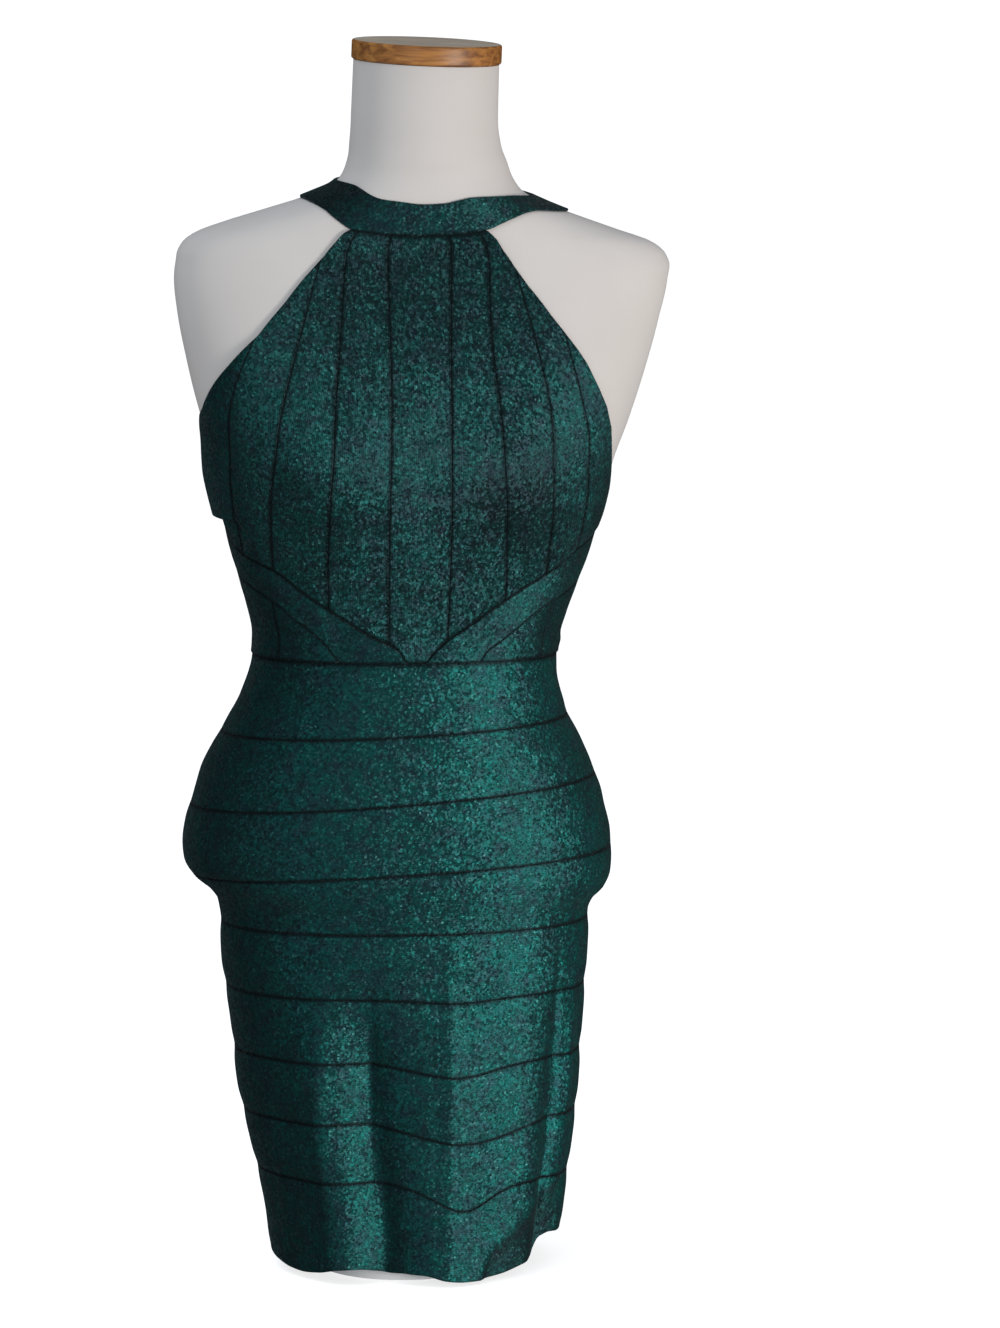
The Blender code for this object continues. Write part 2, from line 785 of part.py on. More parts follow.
def build_front_bodice(parent):
    """Nine upright strips that flare from the neck band, cut away at the armholes.

    Returns the angles at which the strips' grid lines reach the slanting seams, left to right.
    """
    foot_angles = []
    for number, spans in enumerate(STRIP_COLUMNS, start=1):
        across = np.linspace(0, 1, spans + 1)
        if number == 1:
            across = 1 - (1 - across) ** SIDE_STRIP_CROWDING
        if number == 9:
            across = across**SIDE_STRIP_CROWDING
        if number == 5:
            left_end = STRIP_SEAMS[0, 4]
            width = STRIP_SEAMS[0, 5] - left_end
            first_kink = (SLANT_KINK_LEFT - left_end) / width
            last_kink = (SLANT_KINK_RIGHT - left_end) / width
            across = np.array([0, first_kink / 2, first_kink, last_kink, (1 + last_kink) / 2, 1])
        angle, height = patch_grid(
            strip_seam(number - 1), strip_seam(number), slant_upper, front_top, across, STRIP_ROWS
        )
        extra = stand_off(angle, height)
        add_cloth(f"bodice_strip_{number}", dress_surface, angle, height, parent, extra=extra)
        foot_angles.extend(angle[0])
    return np.array(foot_angles)


def shares_between(angles, left, right):
    """The given angles that lie between two ends, with the ends, as shares of the way across."""
    inside = angles[(angles > left + LEAST_STEP) & (angles < right - LEAST_STEP)]
    steps = np.diff(inside, prepend=left)
    inside = inside[steps > LEAST_STEP / 2]
    return (np.array([left, *inside, right]) - left) / (right - left)


def build_slants_and_gores(parent, foot_angles):
    """The two slanting bands under the bust and the small gores between them and the waist seam."""
    pieces = [
        # name, left angle, right angle, bottom, top, rows
        ("diagonal_band_left", SIDE_SEAM_RIGHT_OF_WEARER, SLANT_TIP_LEFT, slant_lower, slant_upper, 2),
        ("diagonal_band_right", SLANT_TIP_RIGHT, SIDE_SEAM_LEFT_OF_WEARER, slant_lower, slant_upper, 2),
        ("gore_left_side", SIDE_SEAM_RIGHT_OF_WEARER, GORE_SEAM_LEFT, waist_height, slant_lower, 3),
        ("gore_left_front", GORE_SEAM_LEFT, GORE_TIP_LEFT, waist_height, slant_lower, 2),
        ("gore_right_front", GORE_TIP_RIGHT, GORE_SEAM_RIGHT, waist_height, slant_lower, 2),
        ("gore_right_side", GORE_SEAM_RIGHT, SIDE_SEAM_LEFT_OF_WEARER, waist_height, slant_lower, 3),
    ]
    for name, left, right, bottom, top, rows in pieces:
        across = shares_between(foot_angles, left, right)
        angle, height = patch_grid(fixed_angle(left), fixed_angle(right), bottom, top, across, rows)
        add_cloth(name, dress_surface, angle, height, parent)


def build_back_bodice(parent):
    """Two level bands that close the bodice across the back, below the bare back."""
    def level(height):
        return lambda angle: height + 0.0 * np.asarray(angle, float)

    lines = [level(BACK_TOP), level(BACK_SEAM), waist_height]
    first = SIDE_SEAM_LEFT_OF_WEARER
    last = SIDE_SEAM_RIGHT_OF_WEARER + 360.0
    across = shares_between(RING_ANGLES, first, last)
    for number in (1, 2):
        angle, height = patch_grid(
            fixed_angle(first), fixed_angle(last), lines[number], lines[number - 1], across, BACK_BAND_ROWS
        )
        add_cloth(f"back_band_{number}", dress_surface, angle, height, parent)


def build_skirt(parent):
    """Nine level bands, each a closed ring. The lower ones hang below the form and fold."""
    for number, rows in enumerate(SKIRT_BAND_ROWS, start=1):
        top = skirt_seam_height(number - 1, RING_ANGLES) - HALF_SEAM
        bottom = skirt_seam_height(number, RING_ANGLES) + HALF_SEAM
        share = np.linspace(0, 1, rows + 1)[:, None]
        height = bottom + (top - bottom) * share
        angle = np.tile(RING_ANGLES, (rows + 1, 1))
        add_cloth(f"skirt_band_{number}", dress_surface, angle, height, parent, closed=True)


def build_part():
    """The whole part: form, cap, stand and dress."""
    clear_scene()
    pivot = Vector((0, 0, LEAN_PIVOT_HEIGHT)) * MM
    shift = Vector((FORM_SHIFT_X, FORM_SHIFT_Y, LEAN_PIVOT_HEIGHT + FORM_LIFT)) * MM
    placement = Matrix.Translation(shift) @ Matrix.Rotation(FORM_LEAN, 4, "Y") @ Matrix.Translation(-pivot)
    form_frame = bpy.data.objects.new("form_frame", None)
    bpy.context.scene.collection.objects.link(form_frame)
    form_frame.matrix_world = placement
    build_form(form_frame)
    build_neck_cap(form_frame)
    build_stand(placement)
    build_neck_band(form_frame)
    foot_angles = build_front_bodice(form_frame)
    build_slants_and_gores(form_frame, foot_angles)
    build_back_bodice(form_frame)
    build_skirt(form_frame)


build_part()
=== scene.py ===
# %% [markdown]
# # A halter-neck bandage dress on a dress form
# A bandage dress is made of stretch-knit bands sewn edge to edge. Here metallic thread runs through the
# knit, so that it glitters. The dress is pulled over a limbless dress form with a wooden neck cap.
# The solids are already measured and loaded as a frame. This lesson puts finer surfaces over them.

from math import cos, pi, radians, sin, tan

import bpy
import numpy as np
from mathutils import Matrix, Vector


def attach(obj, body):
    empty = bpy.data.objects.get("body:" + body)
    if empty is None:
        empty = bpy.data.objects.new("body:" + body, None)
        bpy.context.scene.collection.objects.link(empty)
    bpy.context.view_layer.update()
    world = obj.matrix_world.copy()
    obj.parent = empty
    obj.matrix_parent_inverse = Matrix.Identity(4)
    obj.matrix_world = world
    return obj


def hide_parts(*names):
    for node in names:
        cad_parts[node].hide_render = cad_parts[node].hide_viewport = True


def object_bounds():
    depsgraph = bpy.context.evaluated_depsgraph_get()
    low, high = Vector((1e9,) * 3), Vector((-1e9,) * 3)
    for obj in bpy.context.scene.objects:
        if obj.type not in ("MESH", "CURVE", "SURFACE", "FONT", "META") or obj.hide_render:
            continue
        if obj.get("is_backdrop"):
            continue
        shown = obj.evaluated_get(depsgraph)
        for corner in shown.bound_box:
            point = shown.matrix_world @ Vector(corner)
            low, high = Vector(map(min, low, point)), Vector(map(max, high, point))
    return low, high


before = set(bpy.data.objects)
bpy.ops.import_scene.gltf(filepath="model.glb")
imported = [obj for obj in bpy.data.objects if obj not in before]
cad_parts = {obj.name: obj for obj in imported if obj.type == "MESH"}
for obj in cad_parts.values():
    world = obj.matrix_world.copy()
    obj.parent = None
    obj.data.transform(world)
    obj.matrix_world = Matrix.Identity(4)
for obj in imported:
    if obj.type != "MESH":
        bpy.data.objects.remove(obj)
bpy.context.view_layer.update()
MM = 0.001

# %% [markdown]
# ## The camera
# A long lens a few metres away keeps the form's sides almost parallel, as in a shop picture. The camera
# stands a little to the left of the dress and looks slightly down. It is turned to the right, so that
# the dress sits left of the middle of the picture.

# %% Camera
CAMERA_PLACE = (-0.2782, -3.9935, 0.9970)
CAMERA_TURN_RIGHT = radians(5.09)
CAMERA_LOOK_DOWN = radians(7.4)
VIEW_HEIGHT_ANGLE = radians(14.7)
SENSOR = 36.0


def new_object(name, data):
    """Put a camera, a lamp or a mesh in the scene."""
    made = bpy.data.objects.new(name, data)
    bpy.context.scene.collection.objects.link(made)
    return made


camera = new_object("camera", bpy.data.cameras.new("camera"))
bpy.context.scene.camera = camera
camera.data.sensor_width = SENSOR
camera.data.lens = SENSOR / 2 / tan(VIEW_HEIGHT_ANGLE / 2)
camera.location = CAMERA_PLACE
camera.rotation_euler = (pi / 2 - CAMERA_LOOK_DOWN, 0, -CAMERA_TURN_RIGHT)
print("lens:", round(camera.data.lens, 1), "mm")

# %% [markdown]
# ## Tables and smooth curves
# The body is described by short tables: one row for each level, one column for each size. A smooth
# curve reads a table between its rows. A monotone cubic is used because it never swings past its rows,
# so a waist stays a waist. Lengths are in millimetres and angles in degrees. Angle 0 is the middle of
# the front, 90 the wearer's left, 180 the back.


# %% Curve helpers
def smooth_curve(knots, values, at):
    """Cubic pieces whose slope at each knot is the weighted harmonic mean of its two neighbours' slopes,
    or zero where they differ in sign."""
    step = np.diff(knots)
    slope = np.diff(values) / step
    near = 2 * step[1:] + step[:-1]
    far = step[1:] + 2 * step[:-1]
    same_way = slope[:-1] * slope[1:] > 0
    before = np.where(same_way, slope[:-1], 1.0)
    after = np.where(same_way, slope[1:], 1.0)
    tangent = np.empty(len(knots))
    tangent[1:-1] = np.where(same_way, (near + far) / (near / before + far / after), 0.0)
    tangent[0], tangent[-1] = slope[0], slope[-1]
    at = np.clip(at, knots[0], knots[-1])
    row = np.clip(np.searchsorted(knots, at) - 1, 0, len(step) - 1)
    part = (at - knots[row]) / step[row]
    start = (1 + 2 * part) * (1 - part) ** 2 * values[row] + part**2 * (3 - 2 * part) * values[row + 1]
    bend = part * (1 - part) ** 2 * tangent[row] + part**2 * (part - 1) * tangent[row + 1]
    return start + step[row] * bend


def column(table, index, at):
    """One column of a table, read smoothly against its first column."""
    return smooth_curve(table[:, 0], table[:, index], at)


def ease(amount):
    """3a^2 - 2a^3: a step from 0 to 1 with soft ends."""
    amount = np.clip(amount, 0.0, 1.0)
    return amount * amount * (3 - 2 * amount)


def turn_between(angle, centre):
    """Signed turn from centre to angle, between -180 and 180 degrees."""
    return (angle - centre + 180.0) % 360.0 - 180.0


def bump(angle, centre, spread):
    """A bell round an angle: e to the minus (turn / spread) squared."""
    return np.exp(-((turn_between(angle, centre) / spread) ** 2))


print("ease(0.25) =", ease(0.25))

# %% [markdown]
# ## The dress form's surface
# A dress form is a padded or moulded torso. Each level is a rounded section, wider than it is deep. A
# superellipse gives that: squareness 2 is an ellipse, and more is boxier. Two soft mounds make the bust.
# A ring of points at any level then comes from one formula, for the form and for the cloth on it.

# %% Form tables and surface
FORM_SECTIONS = np.array([
    # height, half_width, front, back, middle_y, squareness
    (316, 147, 82, 90, 0, 2.3), (318, 152, 88, 96, 0, 2.3), (324, 159, 94, 103, 0, 2.3),
    (332, 163.5, 98, 107, 0, 2.3), (344, 165.5, 100, 109, 0, 2.3), (360, 163.8, 100, 110, 0, 2.3),
    (385, 157, 98, 107, 0, 2.3), (400, 152.8, 96, 104, 0, 2.3), (430, 139, 91, 95, 0, 2.25),
    (460, 123.8, 85, 84, 0, 2.2), (490, 116.3, 81, 76, 0, 2.2), (508, 116.6, 81, 75, 0, 2.2),
    (535, 122.8, 85, 78, 0, 2.2), (565, 133, 91, 83, 0, 2.2), (595, 142, 97, 88, 0, 2.25),
    (625, 150.5, 102, 92, 0, 2.3), (655, 157.5, 104, 95, 0, 2.35), (685, 167.5, 101, 97, 0, 2.4),
    (720, 177.4, 94, 97, 0, 2.45), (760, 186.7, 82, 93, 0, 2.5), (790, 191.3, 72, 86, 0, 2.5),
    (803, 191.5, 68, 82, 0, 2.5), (813, 187.5, 65, 79, 0, 2.45), (821, 177.5, 63, 76, 0, 2.4),
    (830, 152.5, 61, 73, 0, 2.35), (840, 122, 59.5, 70, 0, 2.3), (850, 92.8, 58.5, 67, 0, 2.25),
    (860, 72.8, 57.5, 64, 0, 2.15), (870, 65.5, 57, 61, 0, 2.05), (880, 62, 57, 59, -1, 2),
    (892, 59, 57, 58, -1.5, 2), (910, 57, 57, 57, -3, 2), (956, 56.3, 56.5, 56.5, -5, 2),
])
SIDE_REACH = np.array([
    # height, shift of the side points
    (700, 0), (760, 1), (790, 2.5), (805, 4), (821, 4), (832, 1.5), (842, 1.5),
    (852, 2.5), (865, 4.5), (880, 4), (892, 2), (915, 0.3), (956, 0),
])
NECK_TOP = 956.0
NECK_TILT, NECK_TILT_FROM = radians(3.3), 890.0
SHOULDER_TILT, SHOULDER_TILT_FROM, SHOULDER_TILT_TO = radians(0.8), 700.0, 905.0
BUST_X, BUST_HEIGHT, BUST_SPREAD_X, BUST_SPREAD_HEIGHT, BUST_RISE = 78.0, 645.0, 42.0, 46.0, 8.0


def section(table, height):
    """The five measures of a section at this height."""
    return [column(table, k, height) for k in range(1, 6)]


def section_points(angle, half_width, front, back, squareness):
    """x: half width times the sine. y: depth times (1 - |sine|^squareness)^(1/squareness)."""
    side = np.sin(np.radians(angle))
    depth = np.clip(1 - np.abs(side) ** squareness, 0, 1) ** (1 / squareness)
    forward = np.cos(np.radians(angle)) >= 0
    return half_width * side, np.where(forward, -front * depth, back * depth)


def form_surface(angle, height):
    """The section at this height, with two bells for the bust, tilted at the neck and shoulders."""
    angle, height = np.broadcast_arrays(angle, height)
    half_width, front, back, middle_y, squareness = section(FORM_SECTIONS, height)
    x, y = section_points(angle, half_width, front, back, squareness)
    spread_x = (np.abs(x) - BUST_X) / BUST_SPREAD_X
    spread_height = (height - BUST_HEIGHT) / BUST_SPREAD_HEIGHT
    facing = np.clip(3 * np.cos(np.radians(angle)), 0, 1)
    y = y + middle_y - BUST_RISE * facing * np.exp(-(spread_x**2) - spread_height**2)
    neck_tilt = tan(NECK_TILT) * ease((height - NECK_TILT_FROM) / (NECK_TOP - NECK_TILT_FROM))
    window = ease((height - SHOULDER_TILT_FROM) / 90.0) * ease((SHOULDER_TILT_TO - height) / 45.0)
    rise = neck_tilt * (y - middle_y) + tan(SHOULDER_TILT) * window * x
    sideways = column(SIDE_REACH, 1, height) * np.sin(np.radians(angle)) ** 2
    return np.stack([x + sideways, y, height + rise], axis=-1)


waist_ring = form_surface(np.arange(0, 360.0), 492.0)
waist_steps = np.linalg.norm(np.diff(waist_ring, axis=0, append=waist_ring[:1]), axis=-1)
print("waist round the form:", round(waist_steps.sum() / 10, 1), "cm")

# %% [markdown]
# ## The hanging skirt's surface
# The form ends below the hips, and from there the skirt hangs as a narrower tube. With nothing inside
# it, the tube falls into upright folds: one broad ridge, one deep valley and a few soft ones. Each fold
# is a bell round an angle that fades in towards the hem. At one corner the hem is turned under.

# %% Skirt tables and surface
LEAN_PIVOT_HEIGHT = 344.0
SKIRT_SECTIONS = np.array([
    # height, half_width, front, back, middle_x, squareness
    (8, 110, 84, 92, 25, 2.3), (44, 113, 84, 93, 23.8, 2.3), (105, 123, 86, 95, 19, 2.3),
    (153, 131, 88, 97, 14.8, 2.3), (202, 135, 90, 99, 12, 2.3), (250, 140, 92, 101, 8.6, 2.3),
    (286, 141.8, 93, 102, 7.4, 2.3), (300, 143, 94.5, 103.5, 6, 2.3), (310, 148.3, 96.5, 105.5, 3.9, 2.3),
    (320, 159.5, 98.5, 107.5, 1.6, 2.3), (331, 164.6, 100, 109, 0.4, 2.3), (344, 165.5, 100, 109, 0, 2.3),
    (360, 163.8, 100, 110, 0, 2.3),
])
SKIRT_FOLDS = np.array([
    # angle, spread, rise
    (-60, 14, -3), (-34, 10, 5), (-17, 9, -13), (9, 11, 6), (32, 18, 3), (54, 5, -4.5),
    (120, 16, 4), (150, 13, -6), (-175, 20, 4), (-130, 15, -5),
])
FOLDS_START, FOLDS_FULL = 280.0, 150.0
TURNED_CORNER = np.array([
    # angle, height of the line
    (20, -10), (23, 15), (26, 37), (31, 46.5), (37, 54.7), (44, 64.5), (51, 75.5), (60, 86), (72, 96),
])
CORNER_DEPTH, CORNER_SOFTNESS, CORNER_END, CORNER_FADE = 10.0, 14.0, 76.0, 16.0


def skirt_surface(angle, height):
    """The tube's section, with its radius changed by the sum of the folds' bells. Below the turned
    corner's line the cloth goes backwards by depth times (1 - e^-(drop / softness))."""
    angle, height = np.broadcast_arrays(angle, height)
    half_width, front, back, middle_x, squareness = section(SKIRT_SECTIONS, height)
    x, y = section_points(angle, half_width, front, back, squareness)
    fold = sum(rise * bump(angle, centre, spread) for centre, spread, rise in SKIRT_FOLDS)
    fold = fold * ease((FOLDS_START - height) / (FOLDS_START - FOLDS_FULL))
    reach = 1 + fold / np.hypot(x, y)
    side = turn_between(angle, 0.0)
    below = np.maximum(0, column(TURNED_CORNER, 1, side) - height)
    depth = CORNER_DEPTH * (1 - np.exp(-below / CORNER_SOFTNESS))
    turned = depth * ease((CORNER_END - side) / CORNER_FADE)
    return np.stack([middle_x + x * reach, y * reach + turned, height + 0 * x], axis=-1)


def dress_surface(angle, height):
    """The form's surface above the hips, and the hanging tube's below them."""
    angle, height = np.broadcast_arrays(angle, height)
    on_form = (height >= LEAN_PIVOT_HEIGHT)[..., None]
    return np.where(on_form, form_surface(angle, height), skirt_surface(angle, height))


print("front of the skirt at the hem:", dress_surface(0.0, 20.0).round(1))

# %% [markdown]
# ## Off the surface, and into the room
# Cloth lies a little way out from the surface, along its normal. The normal is the cross product of one
# small step round and one small step up. The form leans slightly sideways on its stand, so all points
# worked out in its own frame are turned once, round a level line at the hips, and become metres.

# %% Normals and placing
FORM_LEAN = radians(2.2)
FORM_SHIFT = np.array([-4.0, -6.0, -9.0])
STEP_ROUND, STEP_UP = 0.6, 0.4


def moved_out(surface, angle, height, distance):
    """Surface point plus distance times the unit cross product of the steps round and up."""
    across = surface(angle + STEP_ROUND, height) - surface(angle - STEP_ROUND, height)
    upward = surface(angle, height + STEP_UP) - surface(angle, height - STEP_UP)
    normal = np.cross(across, upward)
    normal = normal / np.linalg.norm(normal, axis=-1, keepdims=True)
    return surface(angle, height) + normal * np.asarray(distance)[..., None]


def in_room(points):
    """Turn x and height by the lean round the hips' level, shift, and change millimetres to metres."""
    x, y, up = points[..., 0], points[..., 1], points[..., 2] - LEAN_PIVOT_HEIGHT
    across = cos(FORM_LEAN) * x + sin(FORM_LEAN) * up
    height = cos(FORM_LEAN) * up - sin(FORM_LEAN) * x + LEAN_PIVOT_HEIGHT
    return (np.stack([across, y, height], -1) + FORM_SHIFT) * MM


print("top of the neck in the room:", in_room(form_surface(0.0, NECK_TOP)).round(3))

# %% [markdown]
# ## Meshes from arrays
# A grid of points becomes a mesh when each cell gets four corner numbers. Whole arrays of corners are
# quicker than a loop over cells. Each corner also gets a place on the flat cloth, in metres, so that a
# knit drawn on it keeps its real size. On a ring the last cell joins the first, but on the flat cloth
# it runs on, so the corner's column may be one past the last.


# %% Mesh helpers
def grid_corners(rows, columns, ring_rows=False, ring_columns=False):
    """Row and column of each cell's corners: lower left, lower right, upper right, upper left."""
    down, along = rows - (not ring_rows), columns - (not ring_columns)
    row, col = np.meshgrid(np.arange(down), np.arange(along), indexing="ij")
    corner_row = np.stack([row, row, row + 1, row + 1], -1).reshape(-1, 4)
    corner_col = np.stack([col, col + 1, col + 1, col], -1).reshape(-1, 4)
    return corner_row, corner_col


def mesh_from_arrays(name, points, faces, corner_uv=None, shades=None):
    """points is (n, 3) in metres, faces a list of (m, corners) arrays, corner_uv one (u, v) per corner,
    and shades maps a name to one value per point, for the materials to read."""
    mesh = bpy.data.meshes.new(name)
    mesh.vertices.add(len(points))
    mesh.vertices.foreach_set("co", np.ascontiguousarray(points, np.float32).ravel())
    corners = np.concatenate([face.ravel() for face in faces]).astype(np.int32)
    mesh.loops.add(len(corners))
    mesh.loops.foreach_set("vertex_index", corners)
    sizes = np.concatenate([np.full(len(face), face.shape[1]) for face in faces])
    mesh.polygons.add(len(sizes))
    mesh.polygons.foreach_set("loop_start", (np.cumsum(sizes) - sizes).astype(np.int32))
    mesh.update(calc_edges=True)
    mesh.validate()
    if corner_uv is not None:
        layer = mesh.uv_layers.new(name="cloth")
        layer.data.foreach_set("uv", np.ascontiguousarray(corner_uv, np.float32).ravel())
    for shade, values in (shades or {}).items():
        layer = mesh.attributes.new(shade, "FLOAT", "POINT")
        layer.data.foreach_set("value", np.ascontiguousarray(values, np.float32).ravel())
    mesh.shade_smooth()
    return mesh


def add_piece(name, mesh, material, slot, *nodes):
    """Put a finished mesh in the scene. It rides on the one body and stands for the CAD nodes named."""
    piece = new_object(name, mesh)
    mesh.materials.append(material)
    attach(piece, "root")
    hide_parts(*nodes)
    return piece


print("cells of a 3 by 4 ring:", len(grid_corners(3, 4, ring_columns=True)[0]))

# %% [markdown]
# ## Materials: a small helper
# A procedural material is a graph of nodes. Writing each node as one line, with its sockets and its
# links named, keeps a material short enough to read.


# %% Node helper
class Shader:
    """A material with its Principled BSDF, and a short way to add nodes and links."""

    def __init__(self, name, **sockets):
        self.material = bpy.data.materials.new(name)
        self.material.use_nodes = True
        self.tree = self.material.node_tree
        self.principled = self.tree.nodes["Principled BSDF"]
        for socket, value in sockets.items():
            self.principled.inputs[socket.replace("_", " ")].default_value = value
        self.room = self.add("TexCoord").outputs["Object"]

    def add(self, kind, inputs=None, **settings):
        """Add one node. inputs maps a socket's name or number to a value or to another node's output."""
        made = self.tree.nodes.new("ShaderNode" + kind)
        for key, value in settings.items():
            setattr(made, key, value)
        for socket, value in (inputs or {}).items():
            if isinstance(value, bpy.types.NodeSocket):
                self.tree.links.new(value, made.inputs[socket])
            else:
                made.inputs[socket].default_value = value
        return made

    def mix(self, factor, low, high):
        """low and high are colours or colour outputs, mixed by factor."""
        return self.add("Mix", {0: factor, 6: low, 7: high}, data_type="RGBA").outputs[2]

    def math(self, operation, first, second=0.0, third=0.0):
        """One arithmetic step."""
        return self.add("Math", {0: first, 1: second, 2: third}, operation=operation).outputs[0]

    def noise(self, at, scale, detail=2.0, roughness=0.5, distortion=0.0):
        """Cloudy noise between 0 and 1."""
        sockets = {"Scale": scale, "Detail": detail, "Roughness": roughness, "Distortion": distortion}
        return self.add("TexNoise", {"Vector": at, **sockets}).outputs[0]

    def use(self, socket, output):
        """Link an output to the Principled BSDF."""
        self.tree.links.new(output, self.principled.inputs[socket])

    def relief(self, strength, distance, height, **normal):
        """Tilt the surface as a height of so many metres would, on top of another normal if given."""
        sockets = {"Strength": strength, "Distance": distance, "Height": height, **normal}
        self.use("Normal", self.add("Bump", sockets).outputs[0])


print("materials are made with", Shader.__name__)

# %% [markdown]
# ## The glitter knit
# The yarn is near-black with green metallic thread. From a step away it is dark cloth covered with small
# flecks, bright where the cloth turns towards the lamp and almost black elsewhere. Paint alone can't do
# that, so the cloth is nearly all metal: a Voronoi pattern in the room's own coordinates splits it into
# cells of 1.6 mm, and each cell gets its own brightness and its own small tilt. The shine is stretched
# across the thread, as on brushed metal. Fine knit ribs run along each band. Two values stored on the
# mesh do the rest: seam darkens the sewn edges, and below the waist seam it is widened into a painted
# shadow of the bodice's edge. A dullness value takes flecks away where the cloth is stretched and on its
# wrong side. The same value also paints shade, with fewer flecks, on the skirt's left side, its
# turned-under corner, the upper bodice, under the right bust and on the neck band's sides. It paints
# highlight, with more flecks, on the left bust and beside the skirt's upright fold.

# %% Knit material
FLECK = 0.0016
RIB = 0.0015

knit = Shader("glitter_knit", Metallic=0.88, Roughness=0.60, Anisotropic=0.6, Sheen_Weight=0.045)
flat_cloth = knit.add("UVMap", uv_map="cloth").outputs["UV"]
cell_sockets = {"Vector": knit.room, "Scale": 1 / FLECK, "Smoothness": 0.5}
cells = knit.add("TexVoronoi", cell_sockets, feature="SMOOTH_F1")
chance, lean_across, lean_along = knit.add("SeparateColor", {0: cells.outputs["Color"]}).outputs[:3]
patchy = knit.noise(knit.room, 30.0, 4.0, 0.65)
mottle = knit.noise(knit.room, 95.0)
marl = knit.noise(knit.room, 300.0)
fleck = knit.add("MapRange", {0: chance, 1: 0.0, 2: 1.0, 3: 0.26, 4: 0.64}).outputs[0]
fleck = knit.math("MULTIPLY", fleck, knit.math("MULTIPLY_ADD", patchy, 1.0, 0.50))
fleck = knit.math("MULTIPLY", fleck, knit.math("MULTIPLY_ADD", marl, 1.0, 0.50))
# The dullness value: real dullness of stretched knit and its wrong side, plus painted shade where it is
# raised and painted highlight where it is lowered.
dull_and_painted_light = knit.add("Attribute", attribute_name="dull_and_painted_light").outputs["Fac"]
fleck = knit.math("MULTIPLY", fleck, knit.math("SUBTRACT", 1.0, dull_and_painted_light))
grey = knit.add("MapRange", {0: mottle, 1: 0.42, 2: 0.68}).outputs[0]
shine = knit.mix(grey, (0.008, 0.315, 0.285, 1), (0.035, 0.205, 0.230, 1))
pale = knit.math("GREATER_THAN", chance, 0.90)
shine = knit.mix(knit.math("MULTIPLY", pale, 0.4), shine, (0.20, 0.50, 0.47, 1))
colour = knit.mix(fleck, (0.026, 0.024, 0.036, 1), shine)
seam_value = knit.add("Attribute", attribute_name="seam").outputs["Fac"]
knit.use("Base Color", knit.mix(seam_value, colour, (0.015, 0.038, 0.044, 1)))
outward = knit.add("NewGeometry").outputs["Normal"]
thread = knit.add("Tangent", direction_type="UV_MAP", uv_map="cloth").outputs[0]
across = knit.add("VectorMath", {0: outward, 1: thread}, operation="CROSS_PRODUCT").outputs[0]


def leaning(normal, way, amount, chance_value):
    """The normal plus a direction times amount times (chance - 1/2)."""
    share = knit.math("MULTIPLY_ADD", chance_value, amount, -amount / 2)
    lean = knit.add("VectorMath", {0: way, "Scale": share}, operation="SCALE").outputs[0]
    return knit.add("VectorMath", {0: normal, 1: lean}, operation="ADD").outputs[0]


facing = leaning(leaning(outward, across, 0.9, lean_across), thread, 0.6, lean_along)
facing = knit.add("VectorMath", {0: facing}, operation="NORMALIZE").outputs[0]
rib_scale = 2 * pi / (20 * RIB)
ribs = knit.add("TexWave", {"Vector": flat_cloth, "Scale": rib_scale}, bands_direction="Y").outputs["Fac"]
knit.relief(0.4, 0.0002, ribs, Normal=facing)
knit.use("Tangent", across)
print("knit flecks:", FLECK / MM, "mm")

# %% [markdown]
# ## The form's cover, the wooden cap and the stand's paint
# The form is off-white and matt, a little blotchy from handling, with a fine weave that only shows
# close up. The cap is turned wood: rings of growth stretched along one direction, under satin lacquer.
# Its flat top is a paler, greyer copy of the wood: a painted reflection of the sky. The hidden stand has
# plain light grey paint with the slight orange peel of a sprayed coat.

# %% Cover, wood and paint
cover = Shader("form_cover", Roughness=0.72, Specular_IOR_Level=0.25)
blotch = cover.noise(cover.room, 14.0, 4.0, 0.55)
grain = cover.noise(cover.room, 900.0)
tone = cover.mix(blotch, (0.565, 0.520, 0.490, 1), (0.635, 0.590, 0.560, 1))
cover.use("Base Color", cover.mix(cover.math("MULTIPLY", grain, 0.10), tone, (0.50, 0.47, 0.46, 1)))
cover.relief(0.35, 0.00015, grain)


def wood_shader(name, dark, light, roughness):
    """Noise stretched along X gives the grain; a second, finer one gives the pores."""
    wood = Shader(name, Roughness=roughness)
    along = wood.add("Mapping", {"Vector": wood.room, "Scale": (18.0, 140.0, 260.0)}).outputs[0]
    rings = wood.noise(along, 1.0, 5.0, distortion=0.6)
    fine = wood.add("Mapping", {"Vector": wood.room, "Scale": (120.0, 1500.0, 1500.0)}).outputs[0]
    pores = wood.noise(fine, 1.0)
    factor = wood.add("MapRange", {0: rings, 1: 0.32, 2: 0.68}).outputs[0]
    worn = wood.noise(wood.room, 45.0, 3.0)
    tone = wood.mix(factor, dark, light)
    tone = wood.mix(wood.math("MULTIPLY", worn, 0.35), tone, (*[c * 0.45 for c in dark[:3]], 1))
    wood.use("Base Color", wood.mix(wood.math("MULTIPLY", pores, 0.22), tone, dark))
    wood.relief(0.3, 0.0002, pores)
    return wood.material


rim_wood = wood_shader("cap_wood", (0.19, 0.065, 0.016, 1), (0.56, 0.235, 0.050, 1), 0.45)
# The top's paler, greyer wood is a painted reflection of the sky.
top_wood_painted_reflection = wood_shader("cap_top_wood_painted_reflection", (0.46, 0.36, 0.27, 1), (0.70, 0.58, 0.46, 1), 0.50)

